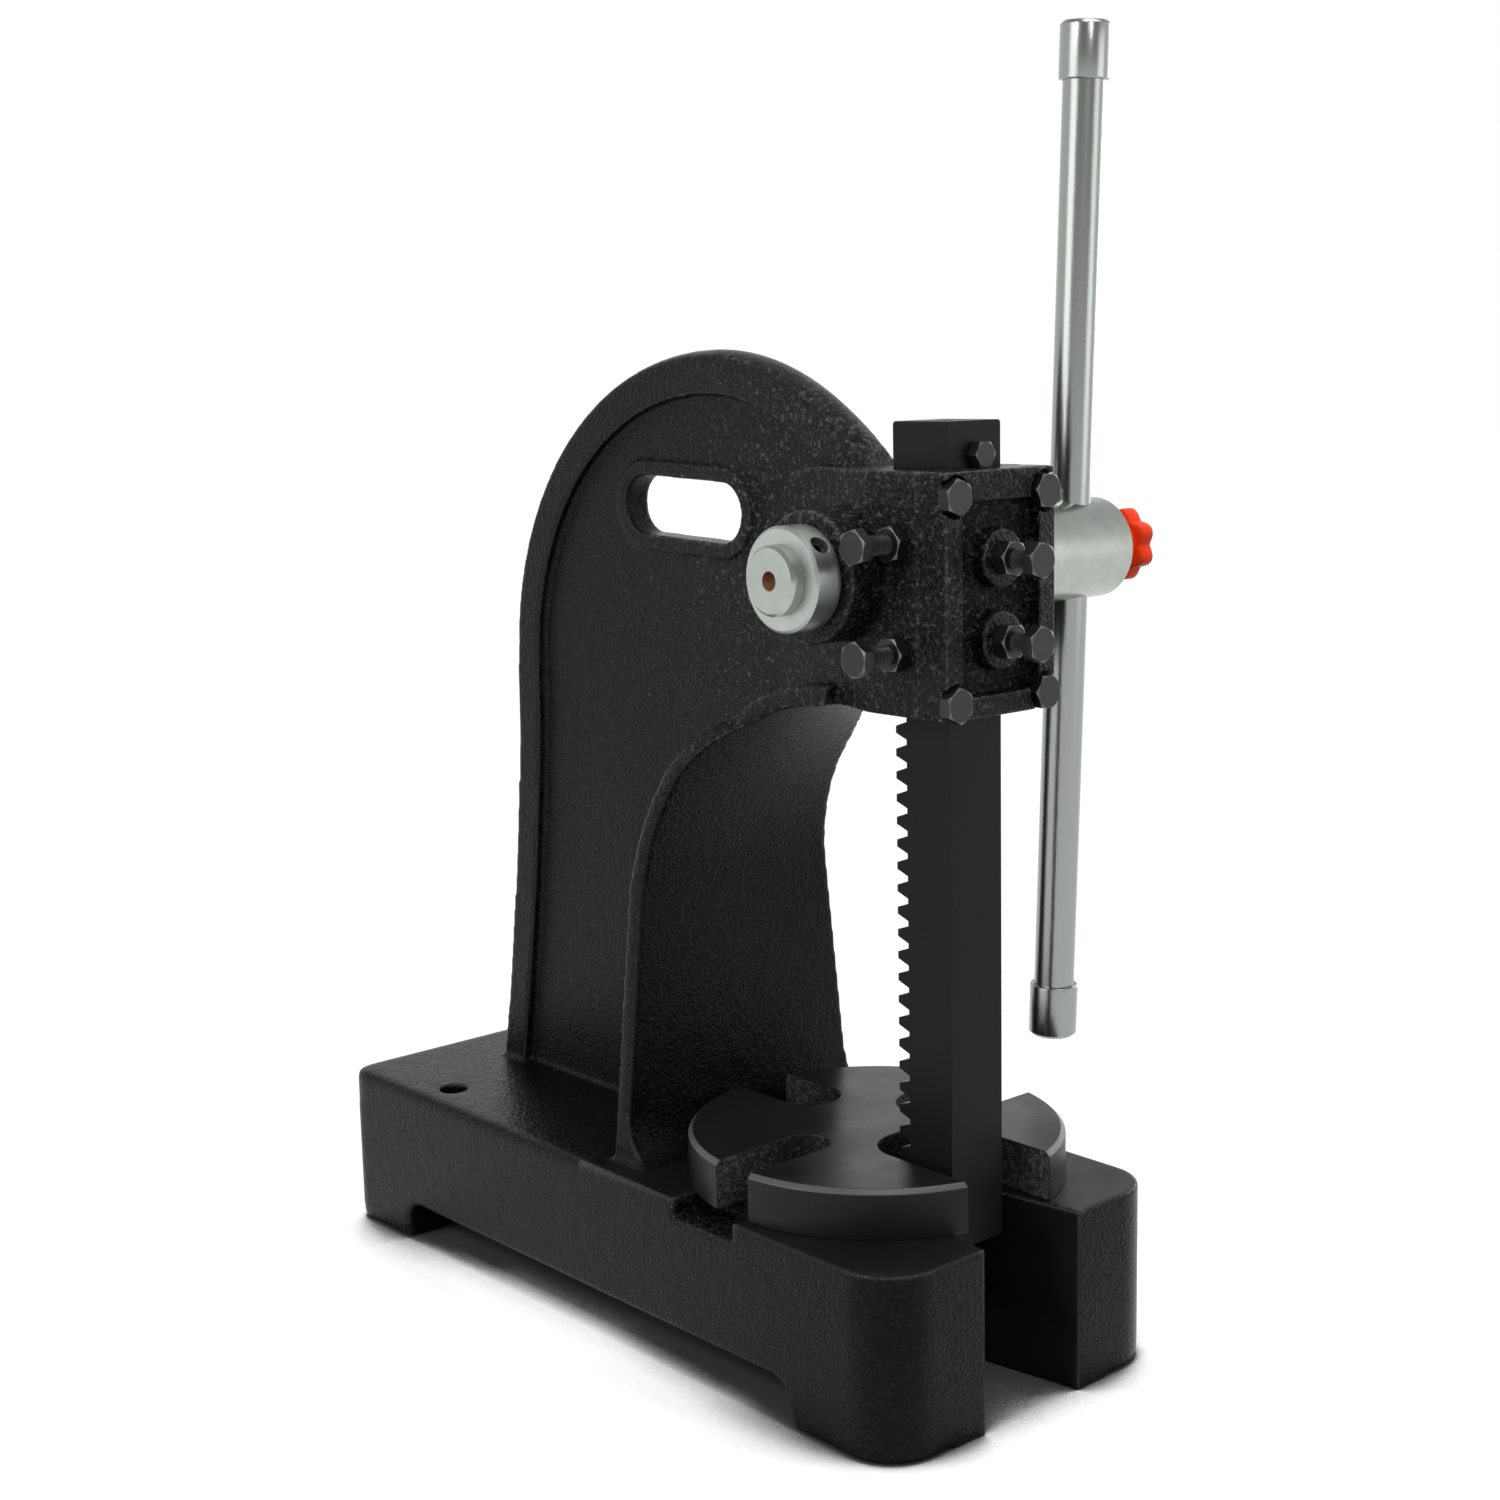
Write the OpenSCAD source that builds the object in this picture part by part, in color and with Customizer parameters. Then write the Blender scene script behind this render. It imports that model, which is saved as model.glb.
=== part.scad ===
// Bench arbor press. A square ram with a rack runs down through the head of a
// cast iron frame. A ten-tooth pinion behind the ram lifts and lowers it, and a
// sliding handle bar turns the pinion. A slotted round plate lies on the base.
// X runs along the pinion shaft, the handle is at +X. The throat faces -Y.
// Z is up. The origin is where the axis of the ram meets the bench.

/* [Base] */
// Width of the base casting
base_w = 164.8; // [156:0.2:174]
// Distance from the ram axis to the front of the base
base_front = 45.5; // [42:0.5:52]
// Distance from the ram axis to the back of the base
base_back = 342.2; // [334:0.2:356]
// Height of the milled pad on the base
pad_h = 78.6; // [74:0.2:84]
// Radius of the front corners in plan
base_front_r = 24.3; // [20:0.1:28]
// Radius of the rear corners in plan
base_rear_r = 10; // [6:0.5:14]
// Height of the arch under the sides of the base
arch_h = 20; // [16:0.5:24]
// Distance from the ram axis to the back of the front feet
front_foot_y = 13; // [10:0.5:17]
// Length of the rear foot
rear_foot_len = 48; // [42:1:54]
// Radius of the corners of the arch
arch_r = 11; // [8:0.5:13]
// Thickness of the walls around the hollow of the base
base_wall = 12; // [10:0.5:15]
// Thickness of the deck of the base
deck_t = 20; // [16:0.5:24]
// Width of the mouth of the front slot
slot_mouth_w = 57; // [52:0.5:62]
// Gap between the ram and the walls of the front slot at its narrow end
slot_ram_gap = 3; // [2:0.5:5]
// Length of a side notch along the base
notch_len = 38; // [32:0.5:44]
// Distance from the ram axis to the middle of the side notches
notch_y = 66; // [62:0.5:70]
// Depth of a side notch
notch_h = 8.4; // [6:0.2:10]
// Reach of a side notch into the base
notch_in = 22; // [16:1:26]
// Diameter of the bolt holes in the base
bolt_hole_d = 13.5; // [11:0.5:15]
// Distance from the ram axis to the bolt holes
bolt_hole_y = 275.5; // [268:0.5:280]
// Distance between the two bolt holes
bolt_hole_span = 128.6; // [122:0.2:132]

/* [Column] */
// Height of the opening between the pad and the head
throat_h = 209.9; // [200:0.1:220]
// Distance from the ram axis to the throat wall
throat_depth = 133; // [128:0.5:140]
// Radius of the curve from the throat wall to the head
throat_r = 95; // [88:0.5:100]
// Thickness of the throat flange
flange_t = 8.5; // [7:0.5:11]
// Half width of the throat flange near the base
flange_foot_half = 69; // [63:0.1:72]
// Half width of the throat flange below its upper corners
flange_top_half = 50.8; // [46:0.1:55]
// Radius of the upper corners of the throat flange
flange_corner_r = 28.5; // [24:0.5:32]
// Radius of the flare from the flange to the sides of the base
flare_r = 3; // [2:0.5:14]
// Radius of the fillet between the throat wall and the pad
throat_fillet_r = 22; // [16:0.5:26]
// Distance from the ram axis to the back of the column
column_back = 284; // [276:0.5:296]
// Distance from the ram axis to the back of the column at its foot
column_foot_back = 304; // [297:0.5:312]
// Height of the crown above the top of the head
crown_rise = 46.1; // [40:0.1:52]
// Distance from the ram axis to the highest point of the crown
crown_y = 138; // [130:0.5:146]
// Distance from the ram axis to the front end of the crown
crown_front = 35.6; // [32:0.2:40]
// Width of the raised rim around the column
rim_w = 17; // [13:0.5:21]
// Thickness of the rim at the top
rim_t = 17.8; // [15:0.2:21]
// Thickness of the rim at the foot
rim_foot_t = 27.4; // [24:0.2:31]
// Depth of the recess on each side of the column
recess = 4.3; // [3:0.1:5]
// Length of the carrying slot
carry_len = 80.4; // [70:0.2:88]
// Height of the carrying slot
carry_h = 26.7; // [22:0.1:30]
// Distance from the ram axis to the middle of the carrying slot
carry_y = 157.8; // [152:0.2:162]
// Distance from the top of the crown to the middle of the carrying slot
carry_drop = 67.7; // [62:0.1:72]
// Tilt of the carrying slot, in degrees, with its front end lower
carry_tilt = 2.2; // [0:0.1:5]
// Width of the raised lip around the carrying slot
carry_lip_w = 6.8; // [5:0.1:9]
// Height of the lip of the carrying slot above the web
carry_lip_t = 2.4; // [1.5:0.1:3]

/* [Head] */
// Height of the head
head_h = 96.8; // [90:0.2:104]
// Width of the head
head_w = 62.8; // [59:0.2:68]
// Distance from the ram axis to where the sides of the head start to taper
head_taper_y = 16; // [12:0.5:20]
// Distance from the ram axis to where the tapered sides run out on the web
head_back_y = 98; // [92:0.5:104]
// Radius of the upper rear corner of the head
head_corner_r = 50; // [44:0.5:56]
// Thickness of the front cover
cover_t = 15.2; // [14:0.1:17]
// Height of the raised border of the front cover
border_t = 6.8; // [5:0.1:7.4]
// Width of the side borders
border_side_w = 9.2; // [8:0.1:11]
// Width of the top border
border_top_w = 12; // [10:0.1:14]
// Width of the bottom border
border_bottom_w = 8.8; // [7.5:0.1:11]
// Diameter of a screw boss on the cover
cover_boss_d = 23; // [20:0.5:26]
// Height of a screw boss on the cover
cover_boss_t = 8; // [6:0.5:9]
// Depth of the corner pockets for the bolt heads
pocket_t = 3; // [2:0.1:4]
// Distance from the middle of the cover to the bolts on each side
cover_bolt_x = 25.6; // [25:0.1:26.2]
// Distance from the top of the cover to the upper bolts
cover_bolt_drop = 9.8; // [9:0.1:11]
// Distance from the bottom of the cover to the lower bolts
cover_bolt_lift = 6.7; // [6.6:0.1:8]

/* [Ram and rack] */
// Side of the square ram
ram_side = 30; // [28:0.5:31]
// Length of the ram
ram_len = 339.1; // [332:0.1:346]
// Module of the rack and the pinion
gear_module = 3; // [2.9:0.05:3.1]
// Number of teeth on the pinion
pinion_teeth = 10; // [9:1:11]
// Number of teeth on the rack
rack_teeth = 28; // [27:1:29]
// Distance from the lower end of the ram to the middle of the lowest tooth
rack_start = 45.7; // [43:0.1:50]
// Distance from the top of the ram to the stop bolt
stop_drop = 13.3; // [12:0.1:15]
// Distance from the middle of the ram to the stop bolt, along X
stop_side = 1.5; // [0:0.1:3]
// Diameter of the centre hole in the top of the ram
ram_centre_d = 6; // [4:0.5:8]

/* [Pinion shaft] */
// Height of the shaft axis above the underside of the head
shaft_lift = 55.15; // [52:0.05:58]
// Diameter of the bosses around the shaft
shaft_boss_d = 54; // [50:0.5:55]
// Distance from the middle of the ram to the end face of each shaft boss
shaft_boss_reach = 50.6; // [47:0.1:54]
// Diameter of the journal at the handle
journal_big_d = 38; // [37.6:0.1:40]
// Diameter of the journal at the collar
journal_small_d = 28.2; // [26:0.1:30]
// Length of the collar
collar_len = 13.5; // [11:0.1:16]
// Outer diameter of the collar
collar_d = 42.4; // [40:0.1:46]
// Length of the shaft end beyond the collar
shaft_end_len = 6; // [4:0.1:8]
// Diameter of the hub for the handle bar
hub_d = 44; // [42:0.1:48]
// Length of the hub
hub_len = 74.5; // [70:0.1:78]
// Distance from the end of the hub to the handle bar
bar_inset = 18.1; // [15:0.1:21]

/* [Handle] */
// Diameter of the handle bar
bar_d = 18; // [16:0.5:20]
// Length of the handle bar with its caps
bar_len = 446; // [410:1:450]
// Diameter of an end cap
cap_d = 21.6; // [20.4:0.1:24]
// Length of an end cap
cap_len = 24; // [20:0.5:28]
// Lean of the handle bar to the front, in degrees
bar_lean = 2.27; // [-4:0.01:4]
// Number of lobes on the locking knob
knob_lobes = 7; // [6:1:8]
// Outer radius of the locking knob
knob_r = 16.3; // [15:0.1:18]
// Thickness of the lobed head of the locking knob
knob_t = 8.8; // [7:0.2:11]
// Diameter of the neck of the locking knob
knob_neck_d = 20; // [16:0.5:24]
// Length of the neck of the locking knob
knob_neck_len = 13.9; // [12:0.1:16]
// Diameter of the clamping screw
clamp_d = 10; // [8:0.5:11]

/* [Anvil plate] */
// Diameter of the plate
plate_d = 164; // [156:1:168]
// Thickness of the plate
plate_t = 21.3; // [18:0.1:24]
// Distance of the plate's centre towards the handle
plate_x = 4.6; // [3:0.1:6]
// Distance from the ram axis back to the plate's centre
plate_y = 49.4; // [48:0.1:50]
// Chamfer of the upper edge of the plate
plate_chamfer = 2; // [1:0.1:3]
// Width of the front slot
front_slot_w = 49.4; // [46:0.2:52]
// Distance from the plate's centre to the end of the front slot
front_slot_in = 15.4; // [13:0.2:16]
// Width of the left slot
left_slot_w = 20.4; // [18:0.2:24]
// Distance from the plate's centre to the end of the left slot
left_slot_in = 29; // [24:0.5:34]
// Width of the right slot
right_slot_w = 38; // [34:0.5:42]
// Distance from the plate's centre to the end of the right slot
right_slot_in = 20; // [18:0.5:24]
// Width of the rear slot
rear_slot_w = 28.2; // [24:0.2:32]
// Distance from the plate's centre to the end of the rear slot
rear_slot_in = 34; // [28:0.5:38]
// Gap around the plate where its seat is turned into the fillet of the throat
plate_relief = 1; // [0.6:0.1:1.4]
// Diameter of the pivot pin under the plate
pivot_d = 12; // [10:0.5:12]

/* [Fasteners and gibs] */
// Diameter of the screws and bolts
screw_d = 8; // [7:0.5:8.5]
// Width across the flats of the screw heads and nuts
hex_w = 13; // [12:0.1:13.4]
// Thickness of the screw heads
hex_t = 5.3; // [4.5:0.1:6]
// Diameter of the stop bolt
stop_screw_d = 6; // [5:0.5:7]
// Width across the flats of the stop bolt's head
stop_hex_w = 10; // [9:0.1:11]
// Height of the stop bolt's head
stop_hex_t = 5; // [4:0.1:6]
// Depth of the stop bolt in the ram
stop_depth = 12; // [8:0.5:14]
// Thickness of the lock nuts
nut_t = 6; // [4:0.1:6.5]
// Length of a front screw showing between its lock nut and its head
front_screw_show = 9; // [7:0.5:12]
// Length of a side screw showing between its lock nut and its head
side_screw_show = 13.5; // [11:0.5:15]
// Thickness of the side gib
side_gib_t = 5; // [4:0.1:6]
// Thickness of the front gib
front_gib_t = 4; // [3.5:0.1:4.4]
// Distance from the middle of the front screws to each of them
front_screw_half = 16.2; // [15:0.1:17]
// Height of the middle of the front screws above the underside of the head
front_screw_lift = 46; // [44:0.5:48]
// Distance from the middle of the side screws to each of them
side_screw_half = 21.6; // [20:0.1:24]
// Height of the middle of the side screws above the underside of the head
side_screw_lift = 47; // [45:0.5:50]
// Distance from the ram axis forward to the side screws
side_screw_front = 3; // [2.8:0.1:5]

/* [Fits] */
// Gap between flat sliding faces
slide_gap = 0.1; // [0.06:0.01:0.15]
// Radial gap of shafts and bars that turn or slide in bores
bore_gap = 0.05; // [0.03:0.01:0.08]
// Radial gap of screws in their holes
thread_gap = 0.03; // [0.02:0.01:0.06]
// Play between the teeth of the rack and the pinion
backlash = 0.16; // [0.1:0.02:0.3]

/* [Hidden] */

round_fn = 96;
small_fn = 48;
arc_steps = 12;
curve_steps = 20;
// Overrun of every cut past the face that it leaves
cut = 1;

// Heights
head_z = pad_h + throat_h;
head_top = head_z + head_h;
head_mid = head_z + head_h / 2;
crown_z = head_top + crown_rise;
shaft_z = head_z + shaft_lift;
deck_z = pad_h - deck_t;

// Ram and rack. The rack's tips are flush with the back of the ram.
ram_half = ram_side / 2;
pitch = PI * gear_module;
pressure_angle = 20;
tip_share = 0.8;
root_share = 1.2;
shift_share = 0.4;
tip_clear_share = 0.4;
root_clear_share = 0.33;
rack_tip = tip_share * gear_module;
rack_root = root_share * gear_module;
pitch_y = ram_half - rack_tip;
pitch_r = pinion_teeth * gear_module / 2;
shaft_y = pitch_y + pitch_r + shift_share * gear_module;
stop_z = head_top + stop_hex_w / 2 + slide_gap;
ram_top = stop_z + stop_drop;
ram_bottom = ram_top - ram_len;
rack_z = ram_bottom + rack_start;
pinion_tip_r = shaft_y - pitch_y + rack_root - tip_clear_share * gear_module;
pinion_root_r = shaft_y - ram_half - root_clear_share * gear_module;
base_circle_r = pitch_r * cos(pressure_angle);
ram_chamfer_share = 0.03;

// Head, guide and cover
head_half = head_w / 2;
ram_proud_share = 0.05;
seam_y = -(ram_half - ram_proud_share * ram_half);
cover_y = seam_y - cover_t;
panel_y = cover_y + border_t;
boss_y = panel_y - cover_boss_t;
guide_half = ram_half + slide_gap;
side_gib_x = -(guide_half + side_gib_t);
front_gib_y = -(guide_half + front_gib_t);
gib_w_share = 0.84;
gib_h_share = 0.88;
gib_w = ram_side * gib_w_share;
gib_h = head_h * gib_h_share;
// A dog point on each adjusting screw sits in a dimple and carries the gib
dog_d_share = 0.7;
dog_d = screw_d * dog_d_share;
dog_share = 0.35;
side_dog = side_gib_t * dog_share;
front_dog = front_gib_t * dog_share;

// Shaft, hub and handle
hub_start = shaft_boss_reach + slide_gap;
hub_end = hub_start + hub_len;
bar_x = hub_end - bar_inset;
collar_start = shaft_boss_reach + slide_gap;
shaft_left = collar_start + collar_len + shaft_end_len;
cap_hold_share = 0.75;
cap_hold = cap_len * cap_hold_share;
clamp_end = bar_x + bar_d / 2 + bore_gap + slide_gap;
// Angle of the collar's screw above level, towards the front
collar_screw_angle = 42;

// Plate
plate_r = plate_d / 2;
plate_top = pad_h + slide_gap + plate_t;
pivot_up_share = 0.5;
pivot_up = plate_t * pivot_up_share;
// Cast slots stand a little off the plate's centre lines
left_slot_off_share = 0.12;
rear_slot_off_share = 0.18;

// Points of an arc, from one angle to another
function arc(x, y, r, from, to, steps = arc_steps) =
    [for (i = [0 : steps]) let (a = from + (to - from) * i / steps) [x + r * cos(a), y + r * sin(a)]];

// Flips points left to right and reverses their order
function mirrored(points) = [for (i = [len(points) - 1 : -1 : 0]) [-points[i][0], points[i][1]]];

// Front stretch of the crown, from the head up to its highest point
function crown_front_line(start, rise) =
    [for (i = [0 : curve_steps - 1]) let (t = i / curve_steps)
        [start + (crown_y - start) * t, head_top + rise * (1 - pow(1 - t, crown_front_power))]];
crown_front_power = 2.05;

// Rear stretch of the crown, a quarter ellipse down to the back of the column
function crown_rear_line(reach, rise) =
    [for (i = [0 : curve_steps]) let (a = 90 * (1 - i / curve_steps))
        [crown_y + reach * cos(a), head_z + rise * sin(a)]];

// Back of the column, from where it starts to swell down to its foot
swell_share = 0.91;
swell_z = pad_h + throat_h * swell_share;
swell_power = 1.6;
function column_back_line(reach, foot) =
    [for (i = [0 : arc_steps]) let (t = i / arc_steps)
        [reach + (foot - reach) * pow(t, swell_power), swell_z - (swell_z - pad_h + cut) * t]];

// Throat wall, from the pad up to where it meets the underside of the head
function throat_line(out) =
    arc(throat_depth - throat_r, head_z - throat_r, throat_r + out, 0, 90, curve_steps);

// Side view of the column, and of the recess in its sides
module column_profile() {
    polygon(concat([[throat_depth, pad_h - cut]], throat_line(0), [[crown_front, head_z]],
        crown_front_line(crown_front, crown_rise),
        crown_rear_line(column_back - crown_y, crown_z - head_z),
        column_back_line(column_back, column_foot_back)));
}
module recess_profile() {
    lean = atan((crown_y - crown_front) / crown_rise / crown_front_power);
    inner_front = crown_front + rim_w / cos(lean);
    inner_back = column_back - rim_w;
    polygon(concat([[throat_depth, pad_h - cut]], throat_line(0), [[inner_front, head_z]],
        crown_front_line(inner_front, crown_rise - rim_w),
        crown_rear_line(inner_back - crown_y, crown_z - rim_w - head_z),
        column_back_line(inner_back, column_foot_back - rim_w)));
}

// Lays a side view drawn in Y and Z out along X
module along_x(x0, x1) {
    translate([x0, 0, 0]) rotate([90, 0, 90]) linear_extrude(x1 - x0) children();
}
// Lays a front view drawn in X and Z out along Y
module along_y(y0, y1) {
    translate([0, y1, 0]) rotate([90, 0, 0]) linear_extrude(y1 - y0) children();
}
// Cylinder along X, along Y, and between two heights
module rod_x(x0, x1, r, y = 0, z = 0, fn = round_fn) {
    translate([x0, y, z]) rotate([0, 90, 0]) cylinder(r = r, h = x1 - x0, $fn = fn);
}
module rod_y(y0, y1, r, x = 0, z = 0, fn = round_fn) {
    translate([x, y1, z]) rotate([90, 0, 0]) cylinder(r = r, h = y1 - y0, $fn = fn);
}
module rod_z(z0, z1, r, x = 0, y = 0, fn = round_fn) {
    translate([x, y, z0]) cylinder(r = r, h = z1 - z0, $fn = fn);
}
// Hexagon prism along X or along Y, with two flats level
module hex_x(x0, x1, y, z) {
    translate([x0, y, z]) rotate([0, 90, 0]) rotate(90) cylinder(d = hex_w / cos(30), h = x1 - x0, $fn = 6);
}
module hex_y(y0, y1, x, z, flats = hex_w) {
    translate([x, y1, z]) rotate([90, 0, 0]) cylinder(d = flats / cos(30), h = y1 - y0, $fn = 6);
}
module block(x0, x1, y0, y1, z0, z1) {
    translate([x0, y0, z0]) cube([x1 - x0, y1 - y0, z1 - z0]);
}

// Wedge of material that is wide at the foot and narrow above the head's underside
module thickness_profile(top_t, foot_t) {
    polygon([[-foot_t / 2, pad_h - cut], [foot_t / 2, pad_h - cut], [top_t / 2, head_top - head_h / 2],
        [top_t / 2, crown_z + cut], [-top_t / 2, crown_z + cut], [-top_t / 2, head_top - head_h / 2]]);
}

module column() {
    web_t = rim_t - 2 * recess;
    web_foot_t = rim_foot_t - 2 * recess;
    intersection() {
        along_x(-base_w / 2, base_w / 2) column_profile();
        along_y(0, base_back) thickness_profile(web_t, web_foot_t);
    }
    intersection() {
        difference() {
            along_x(-base_w / 2, base_w / 2) column_profile();
            along_x(-base_w, base_w) recess_profile();
        }
        along_y(0, base_back) thickness_profile(rim_t, rim_foot_t);
    }
}

// Band that follows the throat, with a fillet to the pad at its foot
module flange() {
    foot = flange_foot_half + flare_r;
    half = concat([[0, pad_h - cut], [foot, pad_h - cut], [foot, pad_h]],
        arc(foot, pad_h + flare_r, flare_r, 270, 180),
        [[flange_top_half, head_z - flange_corner_r - flange_t]],
        arc(flange_top_half - flange_corner_r, head_z - flange_corner_r - flange_t, flange_corner_r, 0, 65));
    intersection() {
        along_x(-base_w / 2, base_w / 2)
            polygon(concat([[throat_depth - throat_fillet_r, pad_h - cut]],
                arc(throat_depth - throat_fillet_r, pad_h + throat_fillet_r, throat_fillet_r, 270, 360),
                throat_line(0), [[throat_depth - throat_r, head_z + flange_t]],
                [for (i = [curve_steps : -1 : 0]) throat_line(flange_t)[i]],
                [[throat_depth + flange_t, pad_h - cut]]));
        along_y(0, throat_depth + 2 * flange_t)
            polygon(concat(half, [[head_half, head_z + 2 * flange_t]],
                mirrored(concat(half, [[head_half, head_z + 2 * flange_t]]))));
    }
}

module head() {
    web_t = rim_t - 2 * recess;
    intersection() {
        along_x(-head_half, head_half)
            polygon(concat([[seam_y, head_z], [head_back_y + flange_t, head_z]],
                [[head_back_y + flange_t, head_top - head_corner_r]],
                arc(head_back_y + flange_t - head_corner_r, head_top - head_corner_r, head_corner_r, 0, 90),
                [[seam_y, head_top]]));
        translate([0, 0, head_z]) linear_extrude(head_h)
            polygon([[-head_half, seam_y], [head_half, seam_y], [head_half, head_taper_y],
                [web_t / 2, head_back_y], [web_t / 2, head_back_y + flange_t],
                [-web_t / 2, head_back_y + flange_t], [-web_t / 2, head_back_y],
                [-head_half, head_taper_y]]);
    }
    rod_x(-shaft_boss_reach, shaft_boss_reach, shaft_boss_d / 2, shaft_y, shaft_z);
}

module base_block() {
    linear_extrude(pad_h)
        polygon(concat(
            arc(base_w / 2 - base_front_r, base_front_r - base_front, base_front_r, 270, 360),
            arc(base_w / 2 - base_rear_r, base_back - base_rear_r, base_rear_r, 0, 90),
            arc(base_rear_r - base_w / 2, base_back - base_rear_r, base_rear_r, 90, 180),
            arc(base_front_r - base_w / 2, base_front_r - base_front, base_front_r, 180, 270)));
}

// Hollow under the deck, open to the sides through the arches
module base_hollow() {
    rear_y = base_back - rear_foot_len;
    pivot_back = plate_y + pivot_d;
    along_x(-base_w, base_w)
        polygon(concat([[front_foot_y, -cut]],
            arc(front_foot_y + arch_r, arch_h - arch_r, arch_r, 180, 90),
            arc(rear_y - arch_r, arch_h - arch_r, arch_r, 90, 0),
            [[rear_y, -cut]]));
    difference() {
        block(base_wall - base_w / 2, base_w / 2 - base_wall, pivot_back, rear_y, -cut, deck_z);
        for (side = [-1, 1])
            rod_z(-cut, deck_z + cut, bolt_hole_d, side * bolt_hole_span / 2, bolt_hole_y);
    }
}

// Front slot, which narrows to a round end behind the ram
slot_end_r = ram_half + slot_ram_gap;
module front_slot() {
    translate([0, 0, -cut]) linear_extrude(pad_h + 2 * cut)
        union() {
            polygon([[-slot_mouth_w / 2, -base_front], [-slot_mouth_w / 2, -base_front - cut],
                [slot_mouth_w / 2, -base_front - cut], [slot_mouth_w / 2, -base_front],
                [slot_end_r, ram_half + slot_ram_gap], [-slot_end_r, ram_half + slot_ram_gap]]);
            translate([0, ram_half + slot_ram_gap]) circle(r = slot_end_r, $fn = round_fn);
        }
}

module side_notch(side) {
    inner = base_w / 2 - notch_in;
    outer = base_w / 2 + cut;
    block(min(side * inner, side * outer), max(side * inner, side * outer),
        notch_y - notch_len / 2, notch_y + notch_len / 2, pad_h - notch_h, pad_h + cut);
}

module carry_outline(grow) {
    half = (carry_len - carry_h) / 2;
    r = carry_h / 2 + grow;
    translate([carry_y, crown_z - carry_drop]) rotate(carry_tilt)
        union() {
            for (side = [-1, 1]) translate([side * half, 0]) circle(r = r, $fn = round_fn);
            translate([-half, -r]) square([2 * half, 2 * r]);
        }
}

module frame_casting() {
    web_t = rim_t - 2 * recess;
    lip = web_t / 2 + carry_lip_t;
    color("#2b2c2d")
    difference() {
        union() {
            base_block();
            column();
            flange();
            head();
            along_x(-lip, lip) carry_outline(carry_lip_w);
        }
        base_hollow();
        front_slot();
        side_notch(-1);
        side_notch(1);
        for (side = [-1, 1])
            rod_z(-cut, pad_h + cut, bolt_hole_d / 2, side * bolt_hole_span / 2, bolt_hole_y);
        along_x(-base_w, base_w) carry_outline(0);
        // Guide for the ram and its side gib
        block(side_gib_x, guide_half, seam_y - cut, guide_half, head_z - cut, head_top + cut);
        // Bores for the pinion and its two journals
        rod_x(-guide_half - slide_gap, shaft_boss_reach + cut, journal_big_d / 2 + bore_gap, shaft_y, shaft_z);
        rod_x(-shaft_boss_reach - cut, 0, journal_small_d / 2 + bore_gap, shaft_y, shaft_z);
        rod_z(pad_h - pivot_depth, pad_h + cut, pivot_d / 2 + thread_gap, plate_x, plate_y, small_fn);
        rod_z(pad_h, plate_top + throat_fillet_r, plate_r + plate_relief, plate_x, plate_y, 2 * round_fn);
        for (level = side_levels)
            rod_x(-head_half - cut, side_gib_x + cut, screw_d / 2 + thread_gap, -side_screw_front, level,
                small_fn);
        for (spot = cover_spots)
            rod_y(seam_y - cut, seam_y + bolt_reach, screw_d / 2 + thread_gap, spot[0], spot[1], small_fn);
    }
}
pivot_depth = pivot_d;
side_levels = [head_z + side_screw_lift + side_screw_half, head_z + side_screw_lift - side_screw_half];
front_levels = [head_z + front_screw_lift + front_screw_half, head_z + front_screw_lift - front_screw_half];
cover_spots = [[-cover_bolt_x, head_top - cover_bolt_drop], [cover_bolt_x, head_top - cover_bolt_drop],
    [-cover_bolt_x, head_z + cover_bolt_lift], [cover_bolt_x, head_z + cover_bolt_lift]];
bolt_reach = 2 * screw_d;

module front_cover() {
    pocket_r = hex_w * pocket_share;
    color("#2b2c2d")
    difference() {
        union() {
            difference() {
                block(-head_half, head_half, cover_y, seam_y, head_z, head_top);
                block(border_side_w - head_half, head_half - border_side_w, cover_y - cut, panel_y,
                    head_z + border_bottom_w, head_top - border_top_w);
            }
            for (level = front_levels) rod_y(boss_y, seam_y, cover_boss_d / 2, 0, level);
        }
        for (spot = cover_spots) {
            rod_y(cover_y - cut, cover_y + pocket_t, pocket_r, spot[0], spot[1], small_fn);
            rod_y(cover_y - cut, seam_y + cut, screw_d / 2 + bolt_play, spot[0], spot[1], small_fn);
        }
        for (level = front_levels)
            rod_y(boss_y - cut, seam_y + cut, screw_d / 2 + thread_gap, 0, level, small_fn);
        // Groove for the front of the ram, and the pocket of the front gib
        block(-guide_half, guide_half, -guide_half, seam_y + cut, head_z - cut, head_top + cut);
        block(-gib_w / 2 - slide_gap, gib_w / 2 + slide_gap, front_gib_y - slide_gap, seam_y + cut,
            head_mid - gib_h / 2 - slide_gap, head_mid + gib_h / 2 + slide_gap);
    }
}
pocket_share = 0.64;
bolt_play_share = 0.06;
bolt_play = screw_d * bolt_play_share;

// Hex head bolt that points back from a face at y
module bolt_y(y, x, z, reach) {
    color("#3a3a3a")
    union() {
        hex_y(y - hex_t, y, x, z);
        rod_y(y, y + reach, screw_d / 2, x, z, small_fn);
    }
}
module cover_bolt(i) {
    spot = cover_spots[i];
    bolt_y(cover_y + pocket_t, spot[0], spot[1], cover_t - pocket_t + bolt_reach - screw_d / 2);
}

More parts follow.
